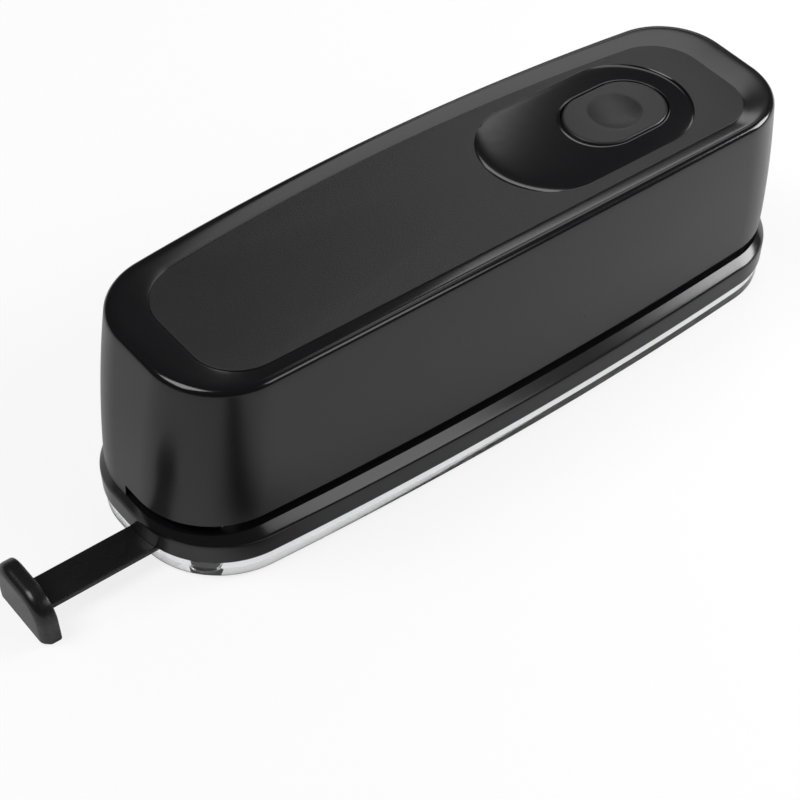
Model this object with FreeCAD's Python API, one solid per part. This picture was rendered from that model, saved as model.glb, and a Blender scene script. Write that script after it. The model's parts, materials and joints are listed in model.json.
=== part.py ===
import FreeCAD, Part
import math
import os
from FreeCAD import Vector

# Millimetres. X runs along the punch, -Y is the paper side, Z is up from the desk.
# The body is drawn about its own middle; EXPORT_SHIFT moves it to the middle of the
# whole footprint, pull-out guide included.

# Heights above the desk
base_bottom = 8.2
band_height = 7.4
shelf_height = 2.8
slot_height = 4.4
rim_height = 78.3

# Cover plan at its foot and at its rim; front and back are measured from the X axis
foot_half_length = 130.4
foot_front = 37.0
foot_back = 39.4
foot_front_bow = 5.3
foot_back_bow = 8.5
foot_end_bow = 1.0
foot_front_corner = 29.0
foot_back_corner = 26.0
rim_end_lean = 8.3
rim_side_lean = 1.6
rim_front_bow = 0.3
rim_back_bow = 8.6
rim_end_bow = 0.3
rim_front_corner = 25.3
rim_back_corner = 24.6
wall_bulge = 0.95
cover_wall = 2.3
rim_round = 2.2
slot_back = 2.3

# Sloped border and inset panel
border_end = 13.0
border_front = 7.1
border_back = 8.0
panel_front_corner = 15.9
panel_back_corner = 18.2
border_drop = 0.9
panel_step = 0.25
panel_thickness = 1.6
panel_gap = 0.12
panel_edge_round = 0.3

# Button and its bezel
bezel_end_inset = 55.1
bezel_half_length = 40.8
bezel_side_margin = 4.8
bezel_rim = 0.9
bezel_dish = 0.7
button_offset = 13.0
button_half_length = 19.3
button_side_margin = 10.0
button_gap = 0.45
button_proud = 0.35
button_crown = 0.5
button_edge_round = 0.7
button_travel = 1.8
button_flange = 1.2
button_flange_height = 1.2
button_skirt_wall = 1.6
thumb_radius = 10.0
thumb_depth = 1.3
stem_radius = 2.6
stem_gap = 0.3

# Base housing
base_end_overhang = 2.0
base_front_overhang = 3.7
base_back_overhang = 0.4
base_front_bow = 5.9
base_front_end_bow = 13.0
base_front_corner = 31.6
base_wall = 2.2
base_edge_round = 0.9
deck_thickness = 3.0
die_thickness = 1.6
die_end_margin = 6.0
die_half_width = 6.5
chip_hole_radius = 4.2

# Chip tray
tray_inset = 0.6
tray_wall = 2.0
tray_lift = 0.8
tray_floor = 1.6
tray_lip = 1.1
tray_lip_height = 2.4
tray_gap = 0.3
tray_rib = 1.6
tray_rib_depth = 2.6
tray_rib_pitch = 64.0
tray_rib_start = -110.0
snap_boss_radius = 4.4
snap_boss_x = 37.7
snap_boss_inset = 3.6
foot_radius = 5.0
foot_thickness = 1.6
foot_seat_radius = 7.0
foot_seat_height = 1.6
foot_pad_inset = 12.4
foot_y = 22.0
tray_travel = 20.0

# Edge guide
guide_center_y = -7.2
guide_width = 12.8
guide_thickness = 2.2
guide_drop = 0.1
guide_reach = 44.2
guide_head_thickness = 6.4
guide_head_half_width = 14.0
guide_head_height = 18.0
guide_head_lift = 0.5
guide_head_corner = 9.5
guide_head_round = 3.2
guide_head_inner_round = 0.8
guide_edge_round = 0.5
guide_tail_inset = 50.4
guide_stop_height = 1.4
guide_stop_length = 1.5
guide_play = 0.3
guide_seat_gap = 0.4
guide_ring_radius = 3.4
guide_ring_inset = 15.7
guide_ring_pitch = 13.6
guide_ring_width = 0.5
guide_ring_depth = 0.25
loop_wall = 1.3
loop_outer_inset = 4.9
loop_outer_length = 8.0
loop_inner_inset = 32.4
loop_inner_length = 12.0

# Punching
pin_end_margin = 22.4
pin_wall_inset = 16.5
pin_radius = 3.5
pin_bore_gap = 0.06
pin_tip_depth = 0.5
pin_top = 47.5
pin_slit_bottom = 31.5
tip_hollow_radius = 8.0
tip_hollow_depth = 0.7
die_depth = 1.1
cross_pin_radius = 1.5
cross_pin_z = 44.5
cross_pin_length = 6.4
paper_margin = 12.0

# Punch frame, guide bushes and paper guide
sheet = 2.5
frame_front = 9.5
frame_lip_height = 8.0
frame_end_gap = 0.7
web_top = 44.0
ear_top = 64.0
ear_margin = 21.2
ear_gear_margin = 18.0
ear_corner = 5.0
foot_flange = 9.0
bush_radius = 5.5
bush_neck_radius = 4.8
bush_height = 5.7
paper_guide_thickness = 1.5
paper_guide_gap = 0.2

# Cam bar
bar_thickness = 2.0
bar_bottom = 33.0
bar_top = 48.5
bar_end_margin = 1.8
bar_travel = 7.5
bar_play = 0.1
cam_slot_play = 0.05
rack_root = 41.9
rack_behind = 22.0
rack_ahead = 13.0
rack_module = 1.0
bar_corner = 3.0
guide_pin_radius = 2.5
guide_pin_play = 0.08
guide_pin_z = 37.5
guide_pin_spacing = 14.0
guide_pin_reach = 2.0

# Gears
gear_module = 0.8
gear_width = 2.6
output_pinion_width = 3.0
gear_x = -40.0
gear_face_gap = 0.5
gear_backlash = 0.14
gear_hub_radius = 4.0
gear_rim_width = 3.0
gear_web_recess = 0.7
gear_shaft_radius = 2.0
gear_shaft_play = 0.05
shaft_end = 1.4
clip_radius = 3.6
clip_thickness = 0.6
clip_gap = 0.1

# Motor
motor_radius = 12.0
motor_length = 25.0
motor_flat = 9.6
motor_boss_radius = 4.0
motor_boss_height = 2.0
motor_shaft_radius = 1.0
motor_shaft_depth = 9.0
motor_cap_height = 3.0
motor_cap_radius = 11.0
motor_screw_offset = 9.2
terminal_width = 2.2
terminal_thickness = 0.5
terminal_length = 3.5
terminal_offset = 6.5

# Batteries, their box and the door
battery_radius = 7.1
battery_length = 50.2
battery_pitch = 14.7
battery_nub_radius = 2.7
battery_nub_height = 1.0
battery_back_inset = 18.8
battery_x = 32.0
battery_floor_gap = 2.0
battery_wall = 1.3
battery_play = 0.3
contact_size = 9.0
contact_thickness = 0.4
contact_room = 1.6
door_margin = 2.0
door_corner = 5.0
door_gap = 0.3
door_travel = 15.0
box_cover_gap = 0.2
finger_groove_length = 16.0
finger_groove_width = 1.4
finger_groove_depth = 0.8
finger_groove_pitch = 2.8

# Power jack
jack_x = -45.0
jack_z = 29.0
jack_body_half = 5.2
jack_body_length = 12.0
jack_collar_radius = 4.2
jack_hole_radius = 2.8
jack_hole_depth = 9.0
jack_pin_radius = 1.0
jack_flush = 0.5
jack_clearance = 0.2

# Circuit board and switch
board_left_reach = 28.5
board_right_reach = 28.0
board_front = 6.0
board_box_gap = 2.9
board_drop = 18.0
board_thickness = 1.6
board_post_radius = 2.5
board_post_inset = 3.0
switch_half_length = 6.4
switch_half_width = 3.0
switch_height = 6.5
plunger_radius = 1.5
plunger_proud = 2.5
plunger_depth = 1.6
plunger_play = 0.08

# Screws and case posts
screw_radius = 1.4
screw_head_radius = 2.6
screw_head_height = 1.8
screw_hole_play = 0.25
case_screw_length = 13.0
case_post_radius = 4.0
post_left_inset = 22.4
post_left_y = 12.0
post_rear_inset = 74.4
post_rear_wall_inset = 14.4
post_middle_x = 8.0
post_middle_y = 7.6
post_right_inset = 26.4
post_right_y = 15.0
frame_screw_shares = (-0.9, -0.33, 0.33, 0.9)
frame_screw_length = 5.0
small_screw_length = 6.0
small_screw_radius = 1.0
small_head_radius = 1.9
small_head_height = 1.2

overrun = 2.0

# Tooth shape, as shares of the module, and tooth counts
pressure_angle = math.radians(25.0)
addendum_share = 0.9
dedendum_share = 1.2
pinion_teeth = 14
wheel_teeth = 42
rack_teeth = 7
flank_shares = (0, 0.35, 0.7, 1)

# Derived heights and places
band_top = base_bottom + band_height
deck_top = band_top + shelf_height
deck_bottom = deck_top - deck_thickness
slot_top = deck_top + slot_height
ceiling = rim_height - border_drop - panel_thickness - cover_wall
panel_bottom = rim_height - border_drop + panel_step - panel_thickness
panel_top = panel_bottom + panel_thickness
rim_half_length = foot_half_length - rim_end_lean
rim_front = foot_front - rim_side_lean
rim_back = foot_back - rim_side_lean
panel_half_length = rim_half_length - border_end
panel_front = rim_front - border_front
panel_back = rim_back - border_back
bezel_center_x = panel_half_length - bezel_end_inset
bezel_half_width = panel_front - bezel_side_margin
button_center_x = bezel_center_x + button_offset
button_half_width = bezel_half_width - button_side_margin
pin_pitch = foot_half_length - pin_end_margin
pin_y = pin_wall_inset - foot_front
die_half_length = pin_pitch + die_end_margin
guide_pin_left = pin_pitch - guide_pin_spacing
guide_pin_right = pin_pitch / 2
battery_y = foot_back - battery_back_inset
board_left = button_center_x - board_left_reach
board_right = button_center_x + board_right_reach
board_back = battery_y - battery_radius - battery_play - battery_wall - board_box_gap
post_left_x = foot_half_length - post_left_inset
post_rear_x = foot_half_length - post_rear_inset
post_rear_y = foot_back - post_rear_wall_inset
post_right_x = foot_half_length - post_right_inset
web_front = pin_y + paper_margin
pin_tip = slot_top + pin_tip_depth
punch_stroke = pin_tip - (deck_top - die_depth)
guide_top = base_bottom - guide_drop
board_z = ceiling - board_drop
pinion_pitch_radius = pinion_teeth * gear_module / 2
wheel_pitch_radius = wheel_teeth * gear_module / 2
gear_distance = pinion_pitch_radius + wheel_pitch_radius
rack_pitch_line = rack_root + dedendum_share * rack_module
output_radius = pinion_teeth * rack_module / 2
gear_z = rack_pitch_line + output_radius
reduction_x = gear_x - gear_distance
motor_x = reduction_x - gear_distance
first_plane = web_front - gear_face_gap
second_plane = first_plane - gear_width - gear_face_gap
bar_front = pin_y - bar_thickness / 2
body_half_length = foot_half_length + base_end_overhang
body_front = foot_front + base_front_overhang
body_back = foot_back + base_back_overhang
guide_head_outer = body_half_length + guide_reach
guide_tail = foot_half_length - guide_tail_inset
loop_outer_x = foot_half_length - loop_outer_inset
loop_inner_x = foot_half_length - loop_inner_inset
foot_x = foot_half_length - foot_pad_inset
EXPORT_SHIFT = Vector((guide_head_outer - body_half_length) / 2, (body_front - body_back) / 2, 0)

# A plan holds half length, front, back, front bow, back bow, end bow in front, end bow
# behind, front corner and back corner
foot_plan = (foot_half_length, foot_front, foot_back, foot_front_bow, foot_back_bow,
             foot_end_bow, foot_end_bow, foot_front_corner, foot_back_corner)
rim_plan = (rim_half_length, rim_front, rim_back, rim_front_bow, rim_back_bow,
            rim_end_bow, rim_end_bow, rim_front_corner, rim_back_corner)
panel_plan = (panel_half_length, panel_front, panel_back, rim_front_bow, rim_back_bow,
              rim_end_bow, rim_end_bow, panel_front_corner, panel_back_corner)
base_plan = (body_half_length, body_front, body_back, base_front_bow, foot_back_bow,
             base_front_end_bow, foot_end_bow, base_front_corner,
             foot_back_corner + base_back_overhang)


def save(name, shape):
    """Write one node, moved from the body's middle to the footprint's middle."""
    moved = shape.copy()
    moved.translate(EXPORT_SHIFT)
    moved.exportStep("parts/" + name + ".step")


def box(x_low, x_high, y_low, y_high, z_low, z_high):
    """A block between two corners."""
    corner = Vector(x_low, y_low, z_low)
    return Part.makeBox(x_high - x_low, y_high - y_low, z_high - z_low, corner)


def rod(radius, length, start, direction):
    """A round bar from start along direction."""
    return Part.makeCylinder(radius, length, start, direction)


def along_y(radius, x, z, y_low, y_high):
    """A round bar parallel to Y."""
    return rod(radius, y_high - y_low, Vector(x, y_low, z), Vector(0, 1, 0))


def upright(radius, x, y, z_low, z_high):
    """A round bar parallel to Z."""
    return rod(radius, z_high - z_low, Vector(x, y, z_low), Vector(0, 0, 1))


def fuse_all(shapes):
    """One solid from several that touch."""
    return shapes[0].multiFuse(list(shapes[1:])).removeSplitter()


def inset_plan(plan, inset):
    """The plan moved inwards, with its bows kept."""
    return tuple(size - inset for size in plan[:3]) + plan[3:7] + tuple(r - inset for r in plan[7:])


def bow_radius(half_chord, bow):
    """Radius of an arc that rises by bow over half_chord."""
    return (half_chord * half_chord + bow * bow) / (2 * bow)


def bowed_edge(plan, x, back):
    """How far the plan's bowed long side lies from the X axis at a place along it."""
    width, bow = (plan[2], plan[4]) if back else (plan[1], plan[3])
    radius = bow_radius(plan[0], bow)
    return width - radius + math.sqrt(radius ** 2 - x ** 2)


def corner_points(length, width, side_bow, end_bow, radius):
    """For one quarter of a plan: where the bowed long side meets its rounded corner, a
    point on the corner, where the corner meets the bowed end, and a point on the end."""
    side_radius = bow_radius(length, side_bow)
    end_radius = bow_radius(width, end_bow)
    side_center = Vector(0, width - side_radius, 0)
    end_center = Vector(length - end_radius, 0, 0)
    between = end_center - side_center
    from_side = side_radius - radius
    from_end = end_radius - radius
    reach = (from_side ** 2 - from_end ** 2 + between.Length ** 2) / (2 * between.Length)
    rise = math.sqrt(max(from_side ** 2 - reach ** 2, 0))
    unit = between / between.Length
    center = side_center + unit * reach + Vector(unit.y, -unit.x, 0) * rise
    first = center - side_center
    last = center - end_center
    last_angle = math.atan2(last.y, last.x)
    middle = (math.atan2(first.y, first.x) + last_angle) / 2
    return [side_center + first / first.Length * side_radius,
            center + Vector(math.cos(middle), math.sin(middle), 0) * radius,
            end_center + last / last.Length * end_radius,
            end_center + Vector(math.cos(last_angle / 2), math.sin(last_angle / 2), 0) * end_radius]


def plan_wire(plan, height):
    """The closed outline at a height: ten tangent arcs."""
    length, front, back, front_bow, back_bow, front_end, back_end, front_corner, back_corner = plan
    rear = corner_points(length, back, back_bow, back_end, back_corner)
    near = [Vector(p.x, -p.y, 0)
            for p in corner_points(length, front, front_bow, front_end, front_corner)]
    rear_left = [Vector(-p.x, p.y, 0) for p in rear]
    near_left = [Vector(-p.x, p.y, 0) for p in near]
    right = Vector(length, 0, 0)
    left = Vector(-length, 0, 0)
    runs = [
        (right, rear[3], rear[2]),
        (rear[2], rear[1], rear[0]),
        (rear[0], Vector(0, back, 0), rear_left[0]),
        (rear_left[0], rear_left[1], rear_left[2]),
        (rear_left[2], rear_left[3], left),
        (left, near_left[3], near_left[2]),
        (near_left[2], near_left[1], near_left[0]),
        (near_left[0], Vector(0, -front, 0), near[0]),
        (near[0], near[1], near[2]),
        (near[2], near[3], right),
    ]
    lift = Vector(0, 0, height)
    return Part.Wire([Part.Arc(a + lift, b + lift, c + lift).toShape() for a, b, c in runs])


def cover_plan(height, inset):
    """The cover's plan at a height: foot and rim plans mixed, with the walls' bulge."""
    share = (height - deck_top) / (rim_height - deck_top)
    mixed = [low + (high - low) * share for low, high in zip(foot_plan, rim_plan)]
    return inset_plan(tuple(mixed), inset - 4 * wall_bulge * share * (1 - share))


def cover_form(low, high, inset):
    """A solid with the cover's bulged, drafted walls between two heights."""
    heights = (low, (low + high) / 2, high)
    return Part.makeLoft([plan_wire(cover_plan(z, inset), z) for z in heights], True, False)


def prism(wire, height):
    """A solid over a flat wire."""
    return Part.Face(wire).extrude(Vector(0, 0, height))


def stadium(center_x, half_length, half_width, height):
    """A flat round-ended outline along X."""
    run = half_length - half_width
    right = center_x + run
    left = center_x - run
    points = [Vector(right, -half_width, height), Vector(right + half_width, 0, height),
              Vector(right, half_width, height), Vector(left, half_width, height),
              Vector(left - half_width, 0, height), Vector(left, -half_width, height)]
    edges = [Part.Arc(points[0], points[1], points[2]).toShape(),
             Part.LineSegment(points[2], points[3]).toShape(),
             Part.Arc(points[3], points[4], points[5]).toShape(),
             Part.LineSegment(points[5], points[0]).toShape()]
    return Part.Wire(edges)


def edges_at(shape, test):
    """Edges whose end points all pass a test."""
    return [edge for edge in shape.Edges if all(test(v.Point) for v in edge.Vertexes)]


def at_height(height):
    """A test for points at one height."""
    near = panel_gap / 10
    return lambda point: abs(point.z - height) < near


def rounded_block(x_low, x_high, y_low, y_high, z_low, z_high, radius, axis):
    """A block with its four edges parallel to an axis rounded."""
    block = box(x_low, x_high, y_low, y_high, z_low, z_high)
    picked = []
    for edge in block.Edges:
        run = edge.Vertexes[1].Point - edge.Vertexes[0].Point
        if abs(run.normalize().dot(axis)) > math.cos(pressure_angle):
            picked.append(edge)
    return block.makeFillet(radius, picked)


def screw_down(x, y, seat, length, radius, head_radius, head_height):
    """A pan screw driven down from a seat."""
    shank = upright(radius, x, y, seat - length, seat)
    head = upright(head_radius, x, y, seat, seat + head_height)
    slot = box(x - head_radius, x + head_radius, y - head_height / 4, y + head_height / 4,
               seat + head_height / 2, seat + head_height + overrun)
    return shank.fuse(head).cut(slot)


def turned(shape, x, y, z):
    """The shape turned upside down about a point."""
    copy = shape.copy()
    copy.rotate(Vector(x, y, z), Vector(1, 0, 0), 180)
    return copy


def case_posts():
    """Plan places of the posts that join cover and base."""
    return [(-post_left_x, post_left_y), (-post_rear_x, post_rear_y),
            (post_middle_x, post_middle_y), (post_right_x, post_right_y)]


def board_posts():
    """Plan places of the posts that carry the circuit board."""
    inset = board_post_inset
    return [(x, y) for x in (board_left + inset, board_right - inset)
            for y in (inset - board_front, board_back - inset)]


def battery_pocket():
    """Corners in X and Z of the space that the cells fill."""
    half = battery_length + battery_nub_height + contact_room
    floor = deck_top + battery_floor_gap + battery_wall
    top = floor + 2 * battery_pitch + 2 * battery_radius + battery_play
    return battery_x - half, battery_x + half, floor, top


def door_prism(grow):
    """The door's outline swept along Y through the back wall."""
    left, right, floor, top = battery_pocket()
    low = floor + door_margin - grow
    return rounded_block(left - grow, right + grow, battery_y, foot_back + overrun,
                         low, top + grow, door_corner + grow, Vector(0, 1, 0))


def cover_shell():
    """The bare cover: bulged walls, rounded rim, sloped border, and a hollow inside."""
    outer = cover_form(deck_top, rim_height, 0)
    outer = outer.makeFillet(rim_round, edges_at(outer, at_height(rim_height)))
    border = inset_plan(cover_plan(rim_height, 0), rim_round)
    above = tuple(2 * a - b for a, b in zip(border, panel_plan))
    dish = Part.makeLoft([plan_wire(panel_plan, rim_height - border_drop),
                          plan_wire(above, rim_height + border_drop)], True, True)
    seat = prism(plan_wire(panel_plan, panel_bottom), rim_height - panel_bottom)
    inner = cover_form(deck_top, ceiling, cover_wall)
    below = prism(plan_wire(cover_plan(deck_top, cover_wall), deck_top - overrun), overrun)
    return outer.cut(dish).cut(seat).cut(inner.fuse(below))


def slot_cut():
    """What the paper slot takes off the cover's front and ends."""
    return box(-foot_half_length - overrun, foot_half_length + overrun,
               -foot_front - overrun, slot_back, deck_top - overrun, slot_top)


def make_top_cover(shell):
    """Cover with slot, button opening, door opening, jack hole and posts."""
    cover = shell.cut(slot_cut())
    opening = stadium(button_center_x, button_half_length + button_gap,
                      button_half_width + button_gap, ceiling - overrun)
    cover = cover.cut(prism(opening, rim_height))
    cover = cover.cut(door_prism(door_gap))
    jack_hole = along_y(jack_collar_radius + jack_clearance, jack_x, jack_z,
                        foot_back / 2, foot_back + overrun)
    cover = cover.cut(jack_hole)
    outside = cover_form(deck_top, ceiling + cover_wall / 2, cover_wall / 2)
    posts = [upright(case_post_radius, x, y, deck_top, ceiling + cover_wall / 2)
             for x, y in case_posts()]
    posts += [upright(board_post_radius, x, y, board_z + board_thickness, ceiling + cover_wall / 2)
              for x, y in board_posts()]
    cover = fuse_all([cover] + [post.common(outside) for post in posts])
    for x, y in case_posts():
        cover = cover.cut(upright(screw_radius, x, y, deck_top - overrun,
                                  deck_bottom + case_screw_length))
    for x, y in board_posts():
        cover = cover.cut(upright(small_screw_radius, x, y, board_z, board_z + small_screw_length))
    return cover


def make_battery_door(shell):
    """The part of the back wall over the cells, with finger grooves."""
    door = shell.common(door_prism(0))
    left, right, floor, top = battery_pocket()
    for step in (0, 1, 2):
        z = top - door_corner - step * finger_groove_pitch
        surface = cover_plan(z, 0)[2]
        groove = rounded_block(battery_x - finger_groove_length / 2,
                               battery_x + finger_groove_length / 2,
                               surface - finger_groove_depth, foot_back + overrun,
                               z - finger_groove_width, z,
                               finger_groove_width / 3, Vector(0, 1, 0))
        door = door.cut(groove)
    return door


def make_top_panel():
    """Flat inset panel with a rounded-end opening for the bezel."""
    panel = prism(plan_wire(inset_plan(panel_plan, panel_gap), panel_bottom), panel_thickness)
    panel = panel.makeFillet(panel_edge_round, edges_at(panel, at_height(panel_top)))
    hole = stadium(bezel_center_x, bezel_half_length + panel_gap, bezel_half_width + panel_gap,
                   panel_bottom - overrun)
    return panel.cut(prism(hole, panel_thickness + 2 * overrun))


def make_button_bezel():
    """Glossy inlay that dishes down towards the button."""
    bezel = prism(stadium(bezel_center_x, bezel_half_length, bezel_half_width, panel_bottom),
                  panel_thickness)
    outer = stadium(bezel_center_x, bezel_half_length - bezel_rim, bezel_half_width - bezel_rim,
                    panel_top)
    inner = stadium(button_center_x, button_half_length + button_gap,
                    button_half_width + button_gap, panel_top - bezel_dish)
    dish = Part.makeLoft([inner, outer], True, True)
    hole = stadium(button_center_x, button_half_length + button_gap,
                   button_half_width + button_gap, panel_bottom - overrun)
    return bezel.cut(dish).cut(prism(hole, panel_thickness + 2 * overrun))


def make_push_button():
    """Crowned button with a thumb dimple, a hollow skirt, a flange and a stem."""
    top = panel_top + button_proud
    flange_top = ceiling - stem_gap / 3
    flange_bottom = flange_top - button_flange_height
    body = prism(stadium(button_center_x, button_half_length, button_half_width, flange_bottom),
                 top - flange_bottom)
    crown_radius = bow_radius(button_half_length, button_crown)
    crown = Part.makeSphere(crown_radius, Vector(button_center_x, 0, top - crown_radius))
    body = body.common(crown)
    high = [edge for edge in body.Edges if edge.BoundBox.ZMin > top - 2 * button_crown]
    body = body.makeFillet(button_edge_round, high)
    dimple_radius = bow_radius(thumb_radius, thumb_depth)
    center = Vector(button_center_x, 0, top - thumb_depth + dimple_radius)
    body = body.cut(Part.makeSphere(dimple_radius, center))
    wall = button_skirt_wall
    hollow = prism(stadium(button_center_x, button_half_length - wall, button_half_width - wall,
                           flange_bottom - overrun),
                   top - thumb_depth - wall - flange_bottom + overrun)
    flange = prism(stadium(button_center_x, button_half_length + button_flange,
                           button_half_width + button_flange, flange_bottom),
                   button_flange_height)
    stem_end = board_z + board_thickness + switch_height + plunger_proud + stem_gap
    stem = upright(stem_radius, button_center_x, 0, stem_end, top - thumb_depth - wall / 2)
    return fuse_all([body.fuse(flange).cut(hollow), stem])


def make_base():
    """Lower housing: upright band, sloped shelf, deck, die pocket and guide loops."""
    band = prism(plan_wire(base_plan, base_bottom), band_height)
    shelf = Part.makeLoft([plan_wire(base_plan, band_top), plan_wire(foot_plan, deck_top)], True, True)
    body = band.fuse(shelf).removeSplitter()
    body = body.makeFillet(base_edge_round, edges_at(body, at_height(band_top)))
    body = body.cut(prism(plan_wire(inset_plan(base_plan, base_wall), base_bottom - overrun),
                          deck_bottom - base_bottom + overrun))
    body = body.cut(box(-die_half_length, die_half_length, pin_y - die_half_width,
                        pin_y + die_half_width, deck_top - die_thickness, deck_top + overrun))
    for x in (-pin_pitch, 0, pin_pitch):
        body = body.cut(upright(chip_hole_radius, x, pin_y, base_bottom, deck_top))
    loops = []
    for x, length in ((-loop_outer_x, loop_outer_length), (-loop_inner_x, loop_inner_length)):
        loops.append(guide_loop(x, x + length))
    body = fuse_all([body] + loops)
    body = body.cut(guide_passage())
    for x, y in case_posts():
        body = body.cut(upright(screw_radius + screw_hole_play, x, y, base_bottom, deck_top + overrun))
    for x in frame_screw_places():
        body = body.cut(upright(screw_radius, x, frame_screw_y(), deck_top - frame_screw_length,
                                deck_top + overrun))
    return body


def guide_loop(x_low, x_high):
    """A hanging loop that carries the guide's arm under the deck."""
    half = guide_width / 2 + guide_play
    low = guide_top - guide_thickness - guide_play
    outer = box(x_low, x_high, guide_center_y - half - loop_wall, guide_center_y + half + loop_wall,
                low - loop_wall, deck_bottom)
    room = box(x_low - overrun, x_high + overrun, guide_center_y - half,
               guide_center_y + half, guide_top + guide_play + loop_wall, deck_bottom)
    return outer.cut(room)


def guide_passage():
    """The arm's own way through base band and loops."""
    half = guide_width / 2 + guide_play
    return box(-body_half_length - overrun, -guide_tail + loop_inner_length,
               guide_center_y - half, guide_center_y + half,
               guide_top - guide_thickness - guide_play, guide_top + guide_play)


def frame_screw_places():
    """Places along X of the screws through the frame's foot."""
    return [share * pin_pitch for share in frame_screw_shares]


def frame_screw_y():
    """The screws' line along the foot flange."""
    return web_front + sheet + foot_flange / 2


def make_die_plate():
    """Steel plate with three holes that the pins enter."""
    plate = box(-die_half_length, die_half_length, pin_y - die_half_width,
                pin_y + die_half_width, deck_top - die_thickness, deck_top)
    for x in (-pin_pitch, 0, pin_pitch):
        plate = plate.cut(upright(pin_radius + pin_bore_gap, x, pin_y,
                                  deck_top - die_thickness - overrun, deck_top + overrun))
    return plate


def make_chip_tray():
    """Clear bottom tray: wall, floor, lip, ribs, bosses and seats for the feet."""
    plan = inset_plan(base_plan, tray_inset)
    inside = inset_plan(plan, tray_wall)
    lip_plan = inset_plan(base_plan, base_wall + tray_gap)
    walls = prism(plan_wire(plan, tray_lift), base_bottom - tray_lift)
    floor_top = tray_lift + tray_floor
    outer = walls.cut(prism(plan_wire(inside, floor_top), base_bottom))
    lip_low = base_bottom - tray_lip_height
    lip = prism(plan_wire(lip_plan, lip_low), 2 * tray_lip_height)
    lip = lip.cut(prism(plan_wire(inset_plan(lip_plan, tray_lip), lip_low), 2 * tray_lip_height))
    tray = outer.fuse(lip)
    ribs = []
    for step in range(4):
        x = tray_rib_start + step * tray_rib_pitch
        rib = box(x - tray_rib / 2, x + tray_rib / 2, -body_front - overrun,
                  tray_wall + tray_rib_depth - bowed_edge(plan, x, False), tray_lift, base_bottom)
        ribs.append(rib.common(walls))
    for side in (-1, 1):
        place = snap_boss_inset - bowed_edge(plan, snap_boss_x, False)
        ribs.append(upright(snap_boss_radius, side * snap_boss_x, place, tray_lift,
                            base_bottom - tray_gap).common(walls))
    for x, y in foot_places():
        ribs.append(upright(foot_seat_radius, x, y, tray_lift, floor_top + foot_seat_height))
    tray = fuse_all([tray] + ribs)
    for x, y in foot_places():
        tray = tray.cut(upright(foot_radius, x, y, 0, foot_thickness))
    half = guide_width / 2 + 2 * guide_play
    notch = box(-body_half_length - overrun, foot_front_corner / 2 - foot_half_length,
                guide_center_y - half, guide_center_y + half,
                guide_top - guide_thickness - 2 * guide_play, base_bottom + tray_lip_height + overrun)
    return tray.cut(notch)


def foot_places():
    """Plan places of the rubber feet."""
    return [(sx * foot_x, sy * foot_y) for sx in (-1, 1) for sy in (-1, 1)]


def make_rubber_feet():
    """Four round pads in the tray's seats."""
    pads = [upright(foot_radius, x, y, 0, foot_thickness) for x, y in foot_places()]
    return Part.makeCompound(pads)


def make_edge_guide():
    """Pull-out guide: flat arm with moulded rings and a tail stop, and a domed head."""
    half = guide_width / 2
    low = guide_top - guide_thickness
    inner = -guide_head_outer + guide_head_thickness
    arm = box(inner - guide_head_thickness / 2, -guide_tail, guide_center_y - half,
              guide_center_y + half, low, guide_top)
    long_edges = [edge for edge in arm.Edges
                  if edge.BoundBox.XLength > guide_width and edge.BoundBox.ZMin > low]
    arm = arm.makeFillet(guide_edge_round, long_edges)
    stop = box(-guide_tail - guide_stop_length, -guide_tail, guide_center_y - half / 2,
               guide_center_y + half / 2, low, guide_top + guide_stop_height)
    for step in (0, 1):
        x = inner + guide_ring_inset + step * guide_ring_pitch
        ring = upright(guide_ring_radius, x, guide_center_y, guide_top - guide_ring_depth,
                       guide_top + overrun)
        ring = ring.cut(upright(guide_ring_radius - guide_ring_width, x, guide_center_y, low,
                                guide_top + 2 * overrun))
        arm = arm.cut(ring)
    return fuse_all([arm, stop, guide_head()])


def guide_head():
    """Head of the guide: a straight foot, upright sides and a domed top, swept along X."""
    outer = -guide_head_outer
    left = guide_center_y - guide_head_half_width
    right = guide_center_y + guide_head_half_width
    low = guide_head_lift
    high = guide_head_lift + guide_head_height
    head = rounded_block(outer, outer + guide_head_thickness, left, right,
                         low - guide_head_corner, high, guide_head_corner, Vector(1, 0, 0))
    head = head.cut(box(outer - overrun, outer + guide_head_thickness + overrun, left - overrun,
                        right + overrun, low - 2 * guide_head_corner, low))
    rim = [edge for edge in head.Edges
           if edge.BoundBox.XMax < outer + panel_gap and edge.BoundBox.ZMax > low + panel_gap]
    head = head.makeFillet(guide_head_round, rim)
    back = [edge for edge in head.Edges
            if edge.BoundBox.XMin > outer + guide_head_thickness - panel_gap
            and edge.BoundBox.ZMax > low + panel_gap]
    return head.makeFillet(guide_head_inner_round, back)


def inside_cover(inset):
    """A straight-sided solid that stays within the cover from the slot up to the web's top."""
    low = prism(plan_wire(cover_plan(slot_top, inset), deck_top), rim_height - deck_top)
    return low.common(prism(plan_wire(cover_plan(web_top, inset), deck_top), rim_height - deck_top))


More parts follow.
